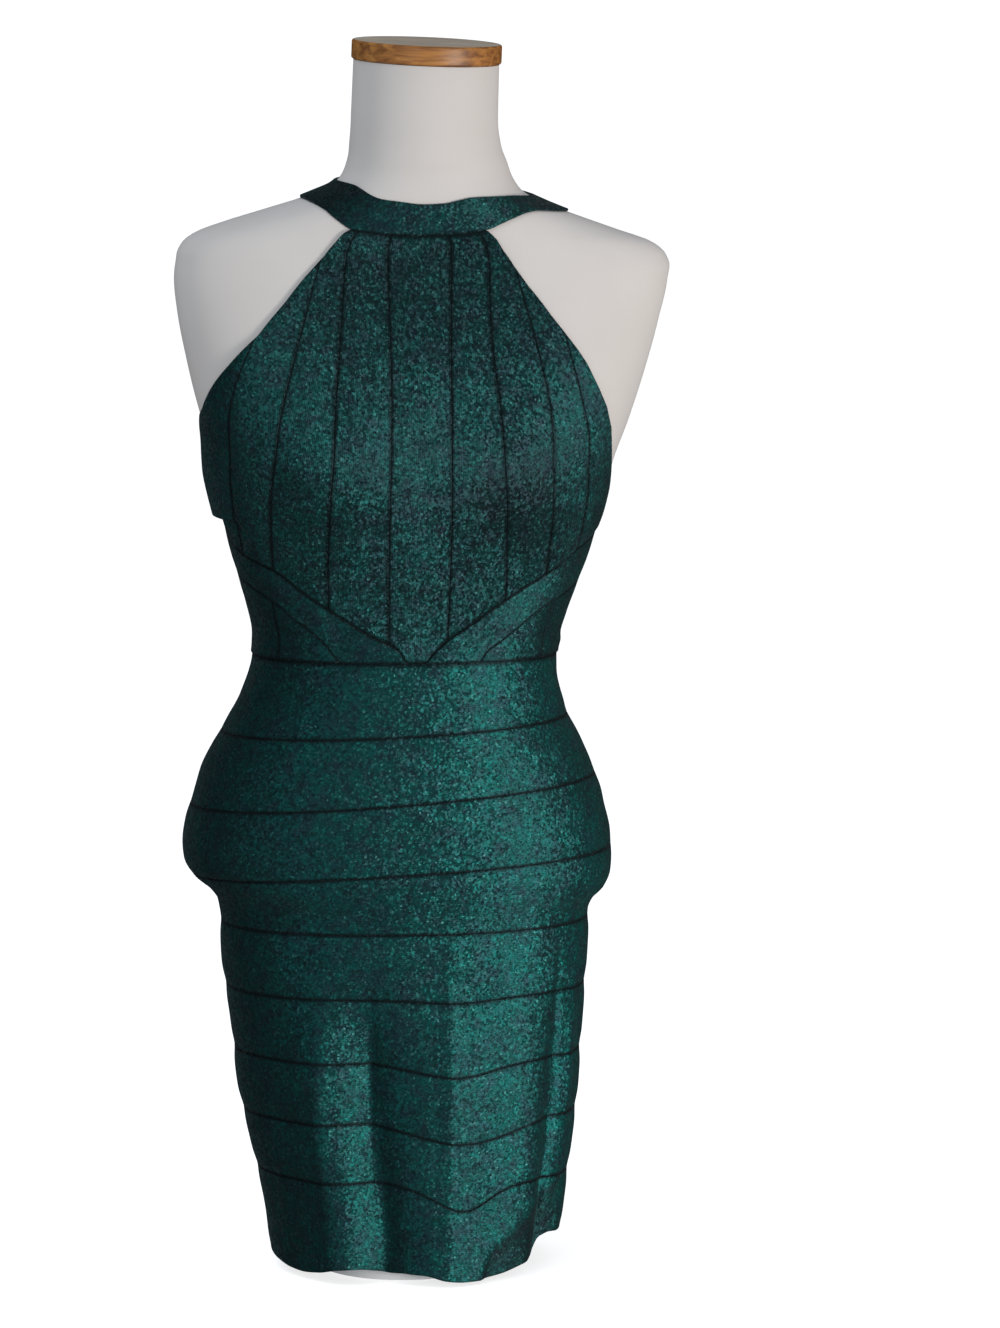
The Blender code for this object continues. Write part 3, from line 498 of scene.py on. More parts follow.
paint = Shader("stand_paint", Roughness=0.45)
peel = paint.noise(paint.room, 500.0)
paint.use("Base Color", paint.mix(peel, (0.72, 0.72, 0.72, 1), (0.80, 0.80, 0.80, 1)))
paint.relief(0.2, 0.0002, peel)
print("materials:", [m.name for m in bpy.data.materials])

# %% [markdown]
# ## The form
# The torso is lofted: rings of points, level above level, close enough that no facet shows. At the
# bottom and the top the ring shrinks to one point in the middle, and a fan of triangles closes it.

# %% Torso
FORM_COLUMNS = 288
FORM_UNDERSIDE = 316.0
near_foot, near_top = [316, 316.6, 317.4, 318.5, 320, 322], [951, 954, 956]
form_levels = np.concatenate([near_foot, np.arange(325, 950, 3.0), near_top])
form_angles = np.arange(FORM_COLUMNS) * 360.0 / FORM_COLUMNS
SHARP_TURN = radians(40)


def closed_rings(name, rings):
    """rings is (levels, columns, 3). A middle point below the first and above the last ring closes them.
    Edges that turn by more than 40 degrees are drawn sharp."""
    levels, columns = rings.shape[:2]
    row, col = grid_corners(levels, columns, ring_columns=True)
    quads = row * columns + col % columns
    points = np.concatenate([rings.reshape(-1, 3), [rings[0].mean(axis=0)], [rings[-1].mean(axis=0)]])
    first, last = levels * columns, levels * columns + 1
    here = np.arange(columns)
    after = (here + 1) % columns
    top = (levels - 1) * columns
    below = np.stack([after, here, np.full(columns, first)], -1)
    above = np.stack([top + here, top + after, np.full(columns, last)], -1)
    mesh = mesh_from_arrays(name, points, [quads, below, above])
    mesh.set_sharp_from_angle(angle=SHARP_TURN)
    return mesh


torso_rings = in_room(form_surface(form_angles[None, :], form_levels[:, None]))
torso_mesh = closed_rings("torso", torso_rings)
add_piece("torso", torso_mesh, cover.material, "form_cover", "form_torso")
print("torso faces:", len(torso_mesh.polygons))

# %% [markdown]
# ## The neck cap and the stand
# A turned piece is one profile carried round an axis. The cap is a wooden disc with softened rims,
# tilted with the top of the neck. The stand is a collar under the form, a post and a heavy base plate.

# %% Turned pieces
TURN_COLUMNS = 128
CAP_RADIUS, CAP_THICKNESS, CAP_EDGE = 58.0, 15.0, 1.8
PART_GAP = 0.3
BASE_RADIUS, BASE_THICKNESS, BASE_EDGE = 70.0, 10.0, 2.0
BOSS_RADIUS, BOSS_HEIGHT, POST_RADIUS = 21.0, 18.0, 12.5
COLLAR_TOP_RADIUS, COLLAR_FOOT_RADIUS, COLLAR_HEIGHT = 42.0, 18.0, 24.0


def rounded(corner_r, corner_z, radius, start, end):
    """Points of an arc round an inner corner, from the start angle to the end angle in degrees."""
    turn = np.radians(np.linspace(start, end, 7))
    return np.stack([corner_r + radius * np.cos(turn), corner_z + radius * np.sin(turn)], -1)


def turned(profile):
    """Carry (radius, height) pairs round the vertical: x and y are the radius times cosine and sine."""
    turn = np.arange(TURN_COLUMNS) * 2 * pi / TURN_COLUMNS
    radius, height = np.asarray(profile, float).T
    x, y = radius[:, None] * np.cos(turn), radius[:, None] * np.sin(turn)
    return np.stack([x, y, height[:, None] + 0 * x], -1)


inner = CAP_RADIUS - CAP_EDGE
rim = [(inner * 0.5, 0.0), (inner - 4, 0.0), *rounded(inner, CAP_EDGE, CAP_EDGE, -90, 0)]
rim += [(CAP_RADIUS, CAP_THICKNESS / 2), *rounded(inner, CAP_THICKNESS - CAP_EDGE, CAP_EDGE, 0, 90)]
rim += [(inner - 4, CAP_THICKNESS), (inner * 0.5, CAP_THICKNESS)]
cap_points = turned(rim)
tilted_y = cap_points[..., 1] * cos(NECK_TILT) - cap_points[..., 2] * sin(NECK_TILT)
tilted_z = cap_points[..., 1] * sin(NECK_TILT) + cap_points[..., 2] * cos(NECK_TILT)
seat_y, seat_z = FORM_SECTIONS[-1, 4], NECK_TOP + PART_GAP
cap_points = np.stack([cap_points[..., 0], tilted_y + seat_y, tilted_z + seat_z], -1)
cap_mesh = closed_rings("neck_cap", in_room(cap_points))
add_piece("neck_cap", cap_mesh, rim_wood, "cap_wood", "form_neck_cap")
cap_mesh.materials.append(top_wood_painted_reflection)
on_top = np.zeros(len(cap_mesh.polygons), np.int32)
face_rows = len(rim) - 1
on_top[(face_rows - 3) * TURN_COLUMNS : face_rows * TURN_COLUMNS] = 1
on_top[-TURN_COLUMNS:] = 1
cap_mesh.polygons.foreach_set("material_index", on_top)

collar_top = FORM_UNDERSIDE - PART_GAP
seat = in_room(np.array([0.0, 0.0, collar_top])) / MM
collar_foot = seat[2] - COLLAR_HEIGHT
base = [(BASE_RADIUS * 0.5, 0), (BASE_RADIUS, 0)]
base_steps = ((BASE_RADIUS, BASE_THICKNESS, BOSS_RADIUS), (BOSS_RADIUS, BOSS_HEIGHT, 9.0))
for radius, top, next_radius in base_steps:
    base += [*rounded(radius - BASE_EDGE, top - BASE_EDGE, BASE_EDGE, 0, 90), (next_radius, top)]
post = [(6.0, BOSS_HEIGHT + PART_GAP), (POST_RADIUS, BOSS_HEIGHT + PART_GAP)]
post += [(POST_RADIUS, collar_foot - PART_GAP), (6.0, collar_foot - PART_GAP)]
foot_ring = turned([(9.0, collar_foot), (COLLAR_FOOT_RADIUS, collar_foot)]) * MM
head_ring = in_room(turned([(COLLAR_TOP_RADIUS, collar_top), (20.0, collar_top)]))
collar = np.concatenate([foot_ring, head_ring])
for name, rings in (("base", turned(base) * MM), ("post", turned(post) * MM), ("collar", collar)):
    add_piece(name, closed_rings(name, rings), paint.material, "stand_paint", "stand_" + name)
print("post:", round(collar_foot - PART_GAP - BOSS_HEIGHT, 1), "mm long")

# %% [markdown]
# ## The seams' places
# Every seam of the dress is a line on the surface. Level seams of the skirt give a height for each
# angle, and upright seams of the bodice give an angle for each height. Tables hold them, so that the
# strips flare over the bust and the bands tilt and sag with the folds, as the real pieces do.

# %% Seam tables
HEM_EDGE = np.array([
    # angle, height
    (-180, 27), (-150, 23), (-120, 22), (-101, 21), (-88, 18.5), (-74, 15.5), (-66, 13.2), (-58, 12.4),
    (-44, 15.2), (-33, 19.8), (-27, 20.6), (-20, 18.6), (-14, 17.5), (-6, 19.2), (1, 19.2), (9, 15.6),
    (16, 14.3), (24, 14.9), (32, 16.8), (43, 21.5), (50, 23.8), (53.5, 26), (56, 34), (58.5, 41),
    (66, 43.5), (80, 42.5), (90, 41), (120, 38), (150, 32), (180, 27),
])
SKIRT_SEAMS = np.array([
    # height, tilt, sag, sag_angle, sag_spread
    (498, 4.3, 0, 14, 18), (441.5, 11, 0, 14, 18), (390, 17, 0, 14, 18), (336, 15, 0, 14, 18),
    (289, 6, 0, 14, 18), (237.5, 5, 3, 15, 14), (186, 4, 9.5, 14, 16.5), (138, 4, 14.5, 17, 21),
    (90, 2, 19.5, 15.5, 13.5),
])
STRIP_SEAMS = np.array([
    # height, seam_1 to seam_8
    (510, -73, -57, -33, -9, 13.2, 36.5, 55, 68),
    (565, -70.5, -53, -30, -9, 11.3, 31.5, 49, 65),
    (620, -67, -48, -27, -8.8, 9.5, 26.5, 43.5, 60.5),
    (670, -61.5, -41.5, -24.2, -8.3, 8, 22.4, 38, 52.5),
    (705, -54, -36.3, -22.3, -8, 7.1, 19.4, 33.5, 44.5),
    (740, -45, -31.5, -20.6, -8.1, 6.4, 16.6, 28.5, 37.5),
    (790, -36, -26, -18.9, -8.5, 6, 14.8, 22, 29.5),
    (830, -30, -23, -18.3, -9, 6, 14.5, 18.5, 24),
])
FRONT_TOP_EDGE = np.array([
    # angle, height
    (-97, 600), (-95, 620), (-92, 645), (-88, 668), (-82, 680), (-76, 686), (-69, 697), (-55, 721.5),
    (-43, 745.5), (-34, 772), (-28.4, 791.9), (-24.1, 806.8), (-22.3, 817), (-21.5, 827.2), (-12, 824.6),
    (-2, 823.6), (8, 825.6), (15, 828.1), (17.6, 829.2), (18.4, 814.8), (20.5, 803.2), (24.4, 787.6),
    (31.2, 765.5), (36, 752), (44, 731), (52, 708), (57, 696), (65, 672), (74, 650), (83, 625), (91, 603),
])
SLANT_UPPER = np.array([
    # angle, height
    (-97, 599), (-85, 586), (-73, 576), (-52, 564), (-41, 549), (-27, 531.4), (-16, 518), (-5, 507),
    (-1, 496), (3, 496), (8, 506), (12, 514.7), (23, 532), (31, 544.8), (44, 563), (55, 575.5),
    (65, 588), (78, 596), (91, 600),
])
SLANT_LOWER = np.array([
    # angle, height
    (-97, 562), (-72, 549.6), (-56, 539), (-48, 528.3), (-41, 520), (-34, 509.3), (-27, 494), (-20, 480),
    (20, 480), (25, 496), (30, 509), (35, 516), (43, 528.4), (51, 540), (63, 550.2), (91, 566),
])
NECK_BAND_EDGES = np.array([
    # angle, low, high
    (-180, 851, 872), (-135, 850, 867), (-110, 849.5, 864), (-90, 849, 863), (-75, 848.5, 862.5),
    (-62, 847, 861.7), (-51, 844.8, 860.5), (-41, 841.5, 857.6), (-32, 836.4, 854.3), (-25, 831.2, 851.8),
    (-22, 828.5, 851), (-12, 825, 849.6), (-2, 824, 848.2), (8, 826, 849.1), (15, 828.5, 851.3),
    (18, 829.8, 852.2), (24, 834, 853.6), (31, 838, 854), (43, 842.6, 854.2), (52, 844, 854.4),
    (65, 843.5, 854), (90, 843, 854.3), (110, 845, 857), (135, 848, 863.5), (180, 851, 872),
])
STAND_OFFS = np.array([
    # angle, spread, low, high, rise, lower_fade
    (-92, 22, 598, 690, 6.5, 5), (88, 18, 598, 690, 1, 5),
    (-55, 22, 640, 790, 0.8, 50), (52, 22, 640, 790, 1, 50),
])
RIGHT_SIDE_SEAM, LEFT_SIDE_SEAM = -96.0, 91.0
BACK_TOP, BACK_SEAM = 602.0, 549.0
SLANT_TIPS, GORE_TIPS, GORE_SEAMS = (-2.2, 4.2), (-29.0, 26.5), (-58.0, 60.0)
print("seam tables:", len(SKIRT_SEAMS), "level seams,", STRIP_SEAMS.shape[1] - 1, "upright seams")

# %% [markdown]
# ## Lines for the pieces' edges
# Two kinds of function are enough. A level line answers "how high is it at this angle?", and an upright
# line "at which angle is it at this height?". A bodice piece lies between two upright and two level
# lines. Its corners are where they cross, and halving the interval over and over finds them.


# %% Edge lines
def skirt_seam_height(index, angle):
    """A tilted ring minus a bell where it sags over the broad fold. After the last comes the hem."""
    if index == len(SKIRT_SEAMS):
        return column(HEM_EDGE, 1, turn_between(angle, 0.0))
    height, tilt_up, sag, sag_angle, sag_spread = SKIRT_SEAMS[index]
    return height + tilt_up * np.sin(np.radians(angle)) - sag * bump(angle, sag_angle, sag_spread)


def waist_height(angle):
    """The first of these rings."""
    return skirt_seam_height(0, angle)


def slanting(table):
    """One edge of the slanting bands, no lower than the waist."""
    return lambda angle: np.maximum(column(table, 1, angle), waist_height(angle))


slant_upper, slant_lower = slanting(SLANT_UPPER), slanting(SLANT_LOWER)


def front_top(angle):
    """The armhole and neckline edge, with straight runs so that its corners stay sharp."""
    return np.interp(angle, FRONT_TOP_EDGE[:, 0], FRONT_TOP_EDGE[:, 1])


def straight(value):
    """A level line at one height, or an upright line at one angle."""
    return lambda at: value + 0.0 * np.asarray(at, float)


def strip_seam(index):
    """Upright seam of the front bodice, with the side seams as number 0 and number 9."""
    if index in (0, 9):
        return straight(RIGHT_SIDE_SEAM if index == 0 else LEFT_SIDE_SEAM)
    return lambda height: column(STRIP_SEAMS, index, height)


def crossing(angle_at, line, low, high):
    """Halve the interval 30 times, keeping the half in which the seam crosses the line."""
    for _ in range(30):
        middle = (low + high) / 2
        over = middle > line(angle_at(middle))
        high = np.where(over, middle, high)
        low = np.where(over, low, middle)
    return (low + high) / 2


def crowded(count):
    """Shares from 0 to 1 with extra ones close to both ends, where the cloth's edge rolls over."""
    ends = np.array([0.0, 0.004, 0.012, 0.028, 0.055])
    return np.concatenate([ends, np.linspace(0.09, 0.91, count), 1 - ends[::-1]])


def patch(left, right, bottom, top, across, upward):
    """Each grid line keeps its share of the way from left to right and runs from bottom to top."""
    def angle_at(height):
        return left(height) + (right(height) - left(height)) * across

    foot = crossing(angle_at, bottom, np.full(across.shape, 470.0), np.full(across.shape, 850.0))
    head = crossing(angle_at, top, foot, np.full(across.shape, 850.0))
    height = foot + (head - foot) * upward[:, None]
    return np.stack([angle_at(row) for row in height]), height


print("waist at the front:", waist_height(0.0), "mm")

# %% [markdown]
# ## Creases
# Stretch knit lies smooth where the body fills it. It still gives small creases: pull lines above the
# waist, soft dents where a band is pulled round the hip, and ripples in the hanging part. Each crease is
# a long bell: narrow across and long along its own direction. They are uneven, and the back has its own.

# %% Crease table
CREASES = np.array([
    # angle, height, direction, half_length, half_width, rise
    # at the waist and the bust
    (-60, 522, 18, 22, 5, 0.9), (-44, 512, 8, 26, 4, -0.7), (52, 520, -22, 20, 5, 0.8),
    (66, 536, -30, 24, 4.5, -0.8), (-76, 560, 30, 26, 6, 0.9), (30, 590, -62, 40, 12, -1.8),
    (14, 572, -70, 34, 10, -1), (-8, 690, 84, 60, 10, -0.9),
    # round the hips
    (-70, 470, 10, 30, 6, 0.8), (-52, 458, 4, 26, 5, -0.6), (70, 466, -8, 28, 5.5, 0.8),
    (-80, 410, 14, 34, 8, 0.7), (76, 398, -16, 30, 8, 0.7), (-64, 318, 8, 30, 5, -1.2),
    (60, 322, -10, 26, 5, -1), (-30, 300, 4, 34, 8, -1), (18, 304, -4, 40, 8, -0.9),
    # in the hanging skirt
    (55.5, 222, 94, 48, 3, -2), (56.5, 118, 87, 50, 3, -1.6), (65, 190, 90, 70, 6, 2.2),
    (11, 150, 89, 110, 6, 2.2), (-18, 150, 84, 90, 5, -2), (-34, 140, 86, 90, 6, 1.4),
    (-62, 80, 80, 44, 8, 1.2), (30, 200, 80, 30, 9, -0.8),
    # on the back
    (118, 520, 12, 30, 6, 0.8), (150, 512, -6, 34, 5, -0.8), (-150, 516, 8, 32, 6, 0.8),
    (-122, 560, -20, 26, 6, -0.8), (178, 575, 2, 40, 7, 0.7), (140, 462, 6, 36, 6, 0.8),
    (-140, 455, -8, 34, 6, -0.7), (170, 420, 4, 44, 8, 0.7), (128, 330, -10, 34, 6, -1),
    (-126, 326, 10, 34, 6, -1), (176, 300, 3, 46, 8, -1), (136, 190, 84, 60, 7, 1.4),
    (164, 150, 86, 60, 6, -1.3), (-158, 170, 88, 55, 7, 1.3), (-112, 160, 82, 50, 7, -1.2),
    (100, 120, 84, 50, 7, 1.2),
])
MM_PER_DEGREE = 2.2


def creases(angle, height):
    """Sum over the table: rise times e^-(along/half_length)^2 times e^-(across/half_width)^2."""
    total = 0.0
    for centre, level, direction, half_length, half_width, rise in CREASES:
        aside = turn_between(angle, centre) * MM_PER_DEGREE
        above = height - level
        turn = radians(direction)
        along = aside * cos(turn) + above * sin(turn)
        across = above * cos(turn) - aside * sin(turn)
        total = total + rise * np.exp(-((along / half_length) ** 2) - (across / half_width) ** 2)
    return total


def stand_off(angle, height):
    """How far the free armhole edges stand away from the form."""
    total = 0.0
    for centre, spread, low, high, rise, lower_fade in STAND_OFFS:
        window = ease((height - low) / lower_fade) * ease((high - height) / 60.0)
        total = total + rise * bump(angle, centre, spread) * window
    return total


def overhang(angle, height):
    """The bodice's lower edge stands proud of the skirt: it fades with the height above the waist."""
    above = height - waist_height(angle)
    return 1.3 * np.exp(-above / 6.0) + 1.8 * bump(angle, 88, 14) * np.exp(-(((above - 9.0) / 6.0) ** 2))


def turned_corner_painted_shade(angle, height):
    """Painted shade below the turned corner's line, and nothing above it or past its end."""
    side = turn_between(angle, 0.0)
    below = column(TURNED_CORNER, 1, side) - height
    return 0.5 * ease(below / 2.5) * ease((CORNER_END - side) / CORNER_FADE)


print("creases:", len(CREASES), "deepest:", CREASES[:, 5].min(), "mm")

# %% [markdown]
# ## One piece of cloth
# A knitted strip is a thin wall with rounded edges, and it puffs up a little between its seams. Two
# skins share one grid: the outer one carries the puff, the creases and the rolled edge, and the inner
# one lies close to the form. Rows run up the outer skin and down the inner one, so the wall closes at its
# edges by itself. A strip that isn't a ring also gets two end walls. The inner skin is the knit's wrong
# side, which is duller.

# %% Cloth wall
CLOTH_GAP, CLOTH_WALL, CLOTH_SLACK, LEAST_GAP = 1.1, 1.6, 0.4, 0.7
ROLL, EDGE_SHARE, PUFF_WIDTH, FREE_EDGE = 1.1, 0.45, 9.0, 1000.0
SEAM_WIDTH, EDGE_DARK, EDGE_DARK_WIDTH = 1.8, 0.45, 1.5
STRETCHED_DULL, WRONG_SIDE_DULL = 0.29, 0.65
FLAT_SHIFT = 0.37
cloth_pieces = {}


def wrapped(grid, ring):
    """On a ring, the first column comes again after the last."""
    return np.concatenate([grid, grid[:, :1]], axis=1) if ring else grid


def distances(points, axis):
    """Running length along the grid, in millimetres, from its first line along that axis."""
    step = np.linalg.norm(np.diff(points, axis=axis), axis=-1)
    start = np.zeros_like(np.take(step, [0], axis=axis))
    return np.concatenate([start, np.cumsum(step, axis=axis)], axis=axis)


def cut_size(points, upright):
    """Length, width and area in metres. A cell's area is half the cross product of its diagonals, and the
    width across the piece is its cells' area divided by their length along the piece."""
    diagonals = np.cross(points[1:, 1:] - points[:-1, :-1], points[1:, :-1] - points[:-1, 1:])
    cells = np.linalg.norm(diagonals, axis=-1) / 2
    along = 0 if upright else 1
    steps = np.linalg.norm(np.diff(points, axis=along), axis=-1)
    length = steps.sum(axis=along).max()
    across = cells.sum(axis=1 - along) / steps.mean(axis=1 - along)
    return length * MM, across.max() * MM, cells.sum() * MM * MM


def cloth_piece(
    node, surface, angle, height, ring=False, upright=False, puff=0.6, extra=0.0, sewn=(1,) * 4, dull_and_painted_light=0.0
):
    """Build one wall of cloth on a surface. sewn marks its bottom, top, left and right edges, 1 for a
    seam, more for a wider dark one and 0 for a free edge, or one such value for each column. Distance to
    the nearest edge drives the roll, the puff and the dark seam. The dullness value is the outer skin's
    dullness, with painted shade and painted highlight where a piece is given them."""
    middle = surface(angle, height)
    around = wrapped(middle, ring)
    length = distances(around, 1)
    rise = distances(middle, 0)
    edges = [rise, rise[-1:] - rise]
    if not ring:
        edges += [length, length[:, -1:] - length]
    nearest = np.minimum.reduce(edges)
    widths = [np.maximum(is_sewn, 0.01) for is_sewn in sewn]
    to_seam = [(edge + FREE_EDGE * (width < 0.5)) / width for edge, width in zip(edges, widths)]
    to_seam = np.minimum.reduce(to_seam)
    roll = np.sqrt(1 - (1 - np.clip(nearest / ROLL, 0, 1)) ** 2)
    swell = puff * (1 - np.exp(-((nearest / PUFF_WIDTH) ** 2)))
    wall = CLOTH_WALL * (EDGE_SHARE + (1 - EDGE_SHARE) * roll)
    outside = CLOTH_GAP + wall + swell + extra + creases(angle, height)
    inside = np.maximum(LEAST_GAP, outside - CLOTH_WALL - CLOTH_SLACK)
    outer = moved_out(surface, angle, height, outside)
    inner = moved_out(surface, angle, height, inside)
    rows, columns = angle.shape
    points = in_room(np.concatenate([outer, inner[::-1]]))
    row, col = grid_corners(2 * rows, columns, ring_rows=True, ring_columns=ring)
    row = row % (2 * rows)
    faces = [row * columns + col % columns]
    flat = np.stack([length, wrapped(rise, ring)], -1)
    flat = np.concatenate([flat, flat[::-1]]) * MM + FLAT_SHIFT * len(cloth_pieces)
    uv = [flat[row, col].reshape(-1, 2)]
    if not ring:
        here = np.arange(rows - 1)
        back_here, back_next = 2 * rows - 1 - here, 2 * rows - 2 - here
        left_end = np.stack([here, here + 1, back_next, back_here], -1) * columns
        right_end = np.stack([here + 1, here, back_here, back_next], -1) * columns + columns - 1
        faces += [left_end, right_end]
        uv += [flat.reshape(-1, 2)[end].reshape(-1, 2) for end in (left_end, right_end)]
    edge_dark = EDGE_DARK * np.clip(1 - nearest / EDGE_DARK_WIDTH, 0, 1)
    dark = np.clip(ease(1.3 - to_seam / SEAM_WIDTH) + edge_dark, 0, 1)
    dull_and_painted_light_values = np.concatenate([dull_and_painted_light + 0.0 * dark, WRONG_SIDE_DULL + 0.0 * dark])
    shades = {"seam": np.concatenate([dark, dark[::-1]]), "dull_and_painted_light": dull_and_painted_light_values}
    uv = np.concatenate(uv)
    if upright:
        uv = uv[:, ::-1]
    mesh = mesh_from_arrays("cloth_" + node, points.reshape(-1, 3), faces, uv, shades)
    piece = add_piece("cloth_" + node, mesh, knit.material, "knit", node)
    cloth_pieces[node] = (piece, *cut_size(around, upright))


print("cloth wall:", CLOTH_WALL, "mm")

# %% [markdown]
# ## The halter band
# The halter is one wide ring round the base of the neck. It lies on the slope of the shoulders. In the
# middle of the front it is as wide as two fingers, and the strips of the bodice hang from it there.

# %% Neck band
RING_COLUMNS = 300
ring_angles = np.arange(RING_COLUMNS) * 360.0 / RING_COLUMNS


def ring_grid(low, high, count):
    """Angles and heights of a closed band's points, from its lower edge to its upper one."""
    heights = low + (high - low) * crowded(count)[:, None]
    return np.tile(ring_angles, (len(heights), 1)), heights


def over_strips(angle):
    """1 where the band's lower edge is sewn to the strips' tops, and 0 where it is free."""
    return ((angle > -21.6) & (angle < 17.6)).astype(float)


around = turn_between(ring_angles, 0.0)
joined = over_strips(around)
neck_low = np.where(joined, front_top(around), column(NECK_BAND_EDGES, 1, around))
grid = ring_grid(neck_low, column(NECK_BAND_EDGES, 2, around), 12)
# The stretched knit's dullness, plus painted shade on the band's two sides where it turns over the
# shoulders.
neck_dull_and_painted_shade = STRETCHED_DULL + 0.35 * bump(grid[0], -52, 20) + 0.25 * bump(grid[0], 62, 16)
flat_ring = dict(ring=True, puff=0.3, extra=-0.3, sewn=(joined, 0))
cloth_piece("neck_band", form_surface, *grid, dull_and_painted_light=neck_dull_and_painted_shade, **flat_ring)
print("neck band:", [round(v, 3) for v in cloth_pieces["neck_band"][1:]])

# %% [markdown]
# ## The front bodice
# Nine strips run up the front. They are narrow at the neck and wide over the bust, which shapes the
# bodice without darts. Their lower ends meet the slanting seams. The outer ones are cut away for the
# armholes, and their free edges stand a little off the form. Stretched knit shows less of its thread.

# %% Bodice strips
# Place and size of the painted shade under the right bust.
PAINTED_SHADE_ANGLE, PAINTED_SHADE_SPREAD, PAINTED_SHADE_LEVEL, PAINTED_SHADE_HALF_HEIGHT = 27.0, 17.0, 638.0, 36.0


def bodice_dull_and_painted_light(angle, height):
    """A base value for the stretched knit, plus painted shade: more towards the neck, and most in a patch
    under the right bust. Less on the left bust, which is a painted highlight."""
    above = (height - PAINTED_SHADE_LEVEL) / PAINTED_SHADE_HALF_HEIGHT
    painted_shade_patch = bump(angle, PAINTED_SHADE_ANGLE, PAINTED_SHADE_SPREAD) * np.exp(-(above**2))
    painted_shade_near_neck = ease((height - 690.0) / 90.0)
    return STRETCHED_DULL + 0.42 * painted_shade_patch + 0.13 * painted_shade_near_neck - 0.10 * bump(angle, -45, 18)


for number in range(1, 10):
    sides = strip_seam(number - 1), strip_seam(number)
    grid = patch(*sides, slant_upper, front_top, crowded(14), crowded(110))
    edges = dict(upright=True, sewn=(1, over_strips(grid[0][-1]), 1.4, 1.4))
    edges["extra"] = stand_off(*grid) + overhang(*grid)
    cloth_piece(f"bodice_strip_{number}", dress_surface, *grid, dull_and_painted_light=bodice_dull_and_painted_light(*grid), **edges)
print("bodice strips:", [round(cloth_pieces[f"bodice_strip_{n}"][2], 3) for n in range(1, 10)], "m tall")

# %% [markdown]
# ## Slanting bands, gores and back bands
# Two slanting bands lift the bust like a hammock and meet in a V at the waist. Small gores fill the
# corners below them. Across the back two level bands close the bodice, and above them the back is bare.

# %% Slants, gores and back
RIGHT_FROM_BEHIND = RIGHT_SIDE_SEAM + 360
back_seam, back_top = straight(BACK_SEAM), straight(BACK_TOP)
side_pieces = [
    # node, left angle, right angle, bottom, top, columns, rows
    ("diagonal_band_left", RIGHT_SIDE_SEAM, SLANT_TIPS[0], slant_lower, slant_upper, 90, 16),
    ("diagonal_band_right", SLANT_TIPS[1], LEFT_SIDE_SEAM, slant_lower, slant_upper, 90, 16),
    ("gore_left_side", RIGHT_SIDE_SEAM, GORE_SEAMS[0], waist_height, slant_lower, 36, 26),
    ("gore_left_front", GORE_SEAMS[0], GORE_TIPS[0], waist_height, slant_lower, 30, 20),
    ("gore_right_front", GORE_TIPS[1], GORE_SEAMS[1], waist_height, slant_lower, 34, 20),
    ("gore_right_side", GORE_SEAMS[1], LEFT_SIDE_SEAM, waist_height, slant_lower, 30, 26),
    ("back_band_1", LEFT_SIDE_SEAM, RIGHT_FROM_BEHIND, back_seam, back_top, 130, 24),
    ("back_band_2", LEFT_SIDE_SEAM, RIGHT_FROM_BEHIND, waist_height, back_seam, 130, 24),
]
for node, left, right, bottom, top, columns, rows in side_pieces:
    grid = patch(straight(left), straight(right), bottom, top, crowded(columns), crowded(rows))
    sewn = (1, 0 if top is back_top else 1, 1, 1)
    cloth_piece(node, dress_surface, *grid, extra=overhang(*grid), sewn=sewn, dull_and_painted_light=0.22)
print("pieces so far:", len(cloth_pieces))

# %% [markdown]
# ## The skirt
# Nine bands go round the hips and down to the hem. On the form they are stretched smooth. Below it they
# hang free and puff out a little more between the seams, which makes the outline slightly scalloped.

# %% Skirt bands
FIRST_HANGING = 5


def skirt_dull_and_painted_light(angle, height):
    """Painted shade down the skirt's left side and on the turned-under corner, and a painted highlight
    beside the upright fold."""
    painted_highlight_by_fold = bump(angle, 66, 9) * ease((height - 50.0) / 30.0)
    return turned_corner_painted_shade(angle, height) + 0.20 * bump(angle, -72, 24) - 0.35 * painted_highlight_by_fold


for number in range(1, 10):
    low, high = skirt_seam_height(number, ring_angles), skirt_seam_height(number - 1, ring_angles)
    grid = ring_grid(low, high, 20)
    puff = 1.3 if number >= FIRST_HANGING else 0.7
    # The first band's top seam is drawn twice as wide: the extra dark band is painted shadow under the
    # bodice's overhanging edge.
    edges = dict(ring=True, sewn=(0 if number == 9 else 1, 2 if number == 1 else 1))
    cloth_piece(f"skirt_band_{number}", dress_surface, *grid, puff=puff, dull_and_painted_light=skirt_dull_and_painted_light(*grid), **edges)
print("skirt:", [round(cloth_pieces[f"skirt_band_{n}"][1], 3) for n in range(1, 10)], "m round")

# %% [markdown]
# ## The cut
# A stretch knit is cut smaller than the body and stretches over it. The hanging bands aren't
# stretched. Each piece's length, width and area on the dress are worked out and kept with it as it is
# built.

# %% [markdown]
# ## The paper floor
# A seamless floor of pale paper runs under the dress and curves up a long way off, on all sides alike, so
# that the dress can be looked at from anywhere. It glows faintly, so that it stays near white, and it is
# kept out of the light that falls on the dress.

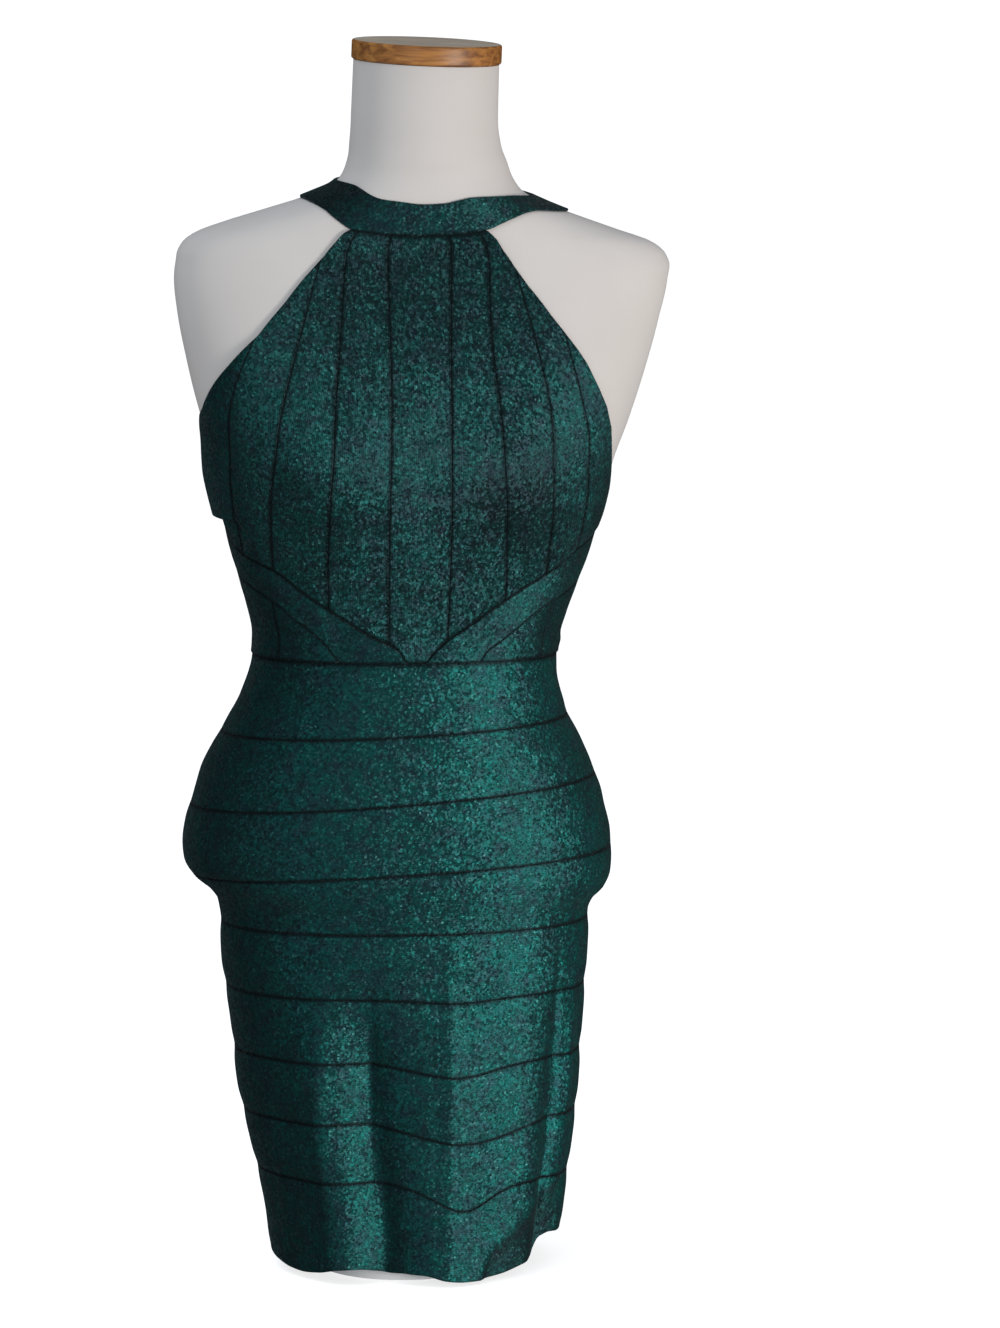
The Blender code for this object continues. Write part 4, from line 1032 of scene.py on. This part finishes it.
# %% Floor
FLOOR_RADIUS, CURVE_RADIUS, RIM_HEIGHT = 13.0, 2.5, 3.5
bend = np.radians(np.linspace(0, 90, 16))
curve = zip(FLOOR_RADIUS + CURVE_RADIUS * np.sin(bend), CURVE_RADIUS * (1 - np.cos(bend)))
floor_profile = [(0.001, 0.0), (0.3, 0.0), (3.0, 0.0), *curve, (FLOOR_RADIUS + CURVE_RADIUS, RIM_HEIGHT)]
row, col = grid_corners(len(floor_profile), TURN_COLUMNS, ring_columns=True)
floor_faces = (row * TURN_COLUMNS + col % TURN_COLUMNS)[:, ::-1]
floor_mesh = mesh_from_arrays("floor", turned(floor_profile).reshape(-1, 3), [floor_faces])
paper = Shader("paper", Roughness=0.8, Emission_Color=(1, 1, 1, 1), Emission_Strength=0.70)
fibre = paper.noise(paper.room, 3.0)
paper.use("Base Color", paper.mix(fibre, (0.86, 0.86, 0.86, 1), (0.90, 0.90, 0.90, 1)))
floor = new_object("floor", floor_mesh)
floor_mesh.materials.append(paper.material)
floor.visible_glossy = False
floor.visible_diffuse = False
floor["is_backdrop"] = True
print("paper floor:", len(floor_mesh.polygons), "faces")

# %% [markdown]
# ## The light
# One lamp stands low to the right of the camera. The metallic thread shines on the side that faces it,
# and the left side falls dark. A weak broad lamp on the left keeps a little shine there. An even light
# and a soft one from above fill the shadows. The upper one is kept out of reflections, so that it
# doesn't wake the thread.


# %% Lights
MIDDLE = (0.0, 0.0, 0.5)


def area_lamp(name, place, target, size, power, colour):
    """A square lamp at a place, turned so that its shining side faces the target."""
    lamp = bpy.data.lights.new(name, "AREA")
    lamp.shape = "SQUARE"
    lamp.size, lamp.energy, lamp.color = size, power, colour
    holder = new_object(name, lamp)
    holder.location = place
    holder.rotation_euler = (Vector(place) - Vector(target)).to_track_quat("Z", "Y").to_euler()
    return holder


def from_dress(azimuth, elevation, distance):
    """A place at this distance from the dress's middle, so many degrees right of its front, and up."""
    turn, lift = radians(azimuth), radians(elevation)
    level = distance * cos(lift)
    return (level * sin(turn), -level * cos(turn), MIDDLE[2] + distance * sin(lift))


area_lamp("key", from_dress(40, -3, 3.0), MIDDLE, 0.7, 54.0, (1.0, 0.97, 0.93))
area_lamp("window", from_dress(-24, 6, 3.6), MIDDLE, 1.6, 11.0, (0.85, 0.93, 1.0))
fill = area_lamp("fill", from_dress(-55, 58, 4.0), MIDDLE, 3.0, 56.0, (0.74, 0.87, 1.0))
fill.visible_glossy = False
world = bpy.data.worlds.new("room")
bpy.context.scene.world = world
world.use_nodes = True
world.node_tree.nodes["Background"].inputs["Color"].default_value = (0.90, 0.95, 1.0, 1)
world.node_tree.nodes["Background"].inputs["Strength"].default_value = 0.46
world.cycles_visibility.glossy = False
bpy.context.scene.view_settings.view_transform = "Standard"

# %% [markdown]
# ## Sizes, and the end
# The box round the finer surfaces is printed. Cloth stands a little proud of the measured solids.

# %% Measure and finish
low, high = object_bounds()
print("visual box:", [round(v, 4) for v in (*low, *high)])
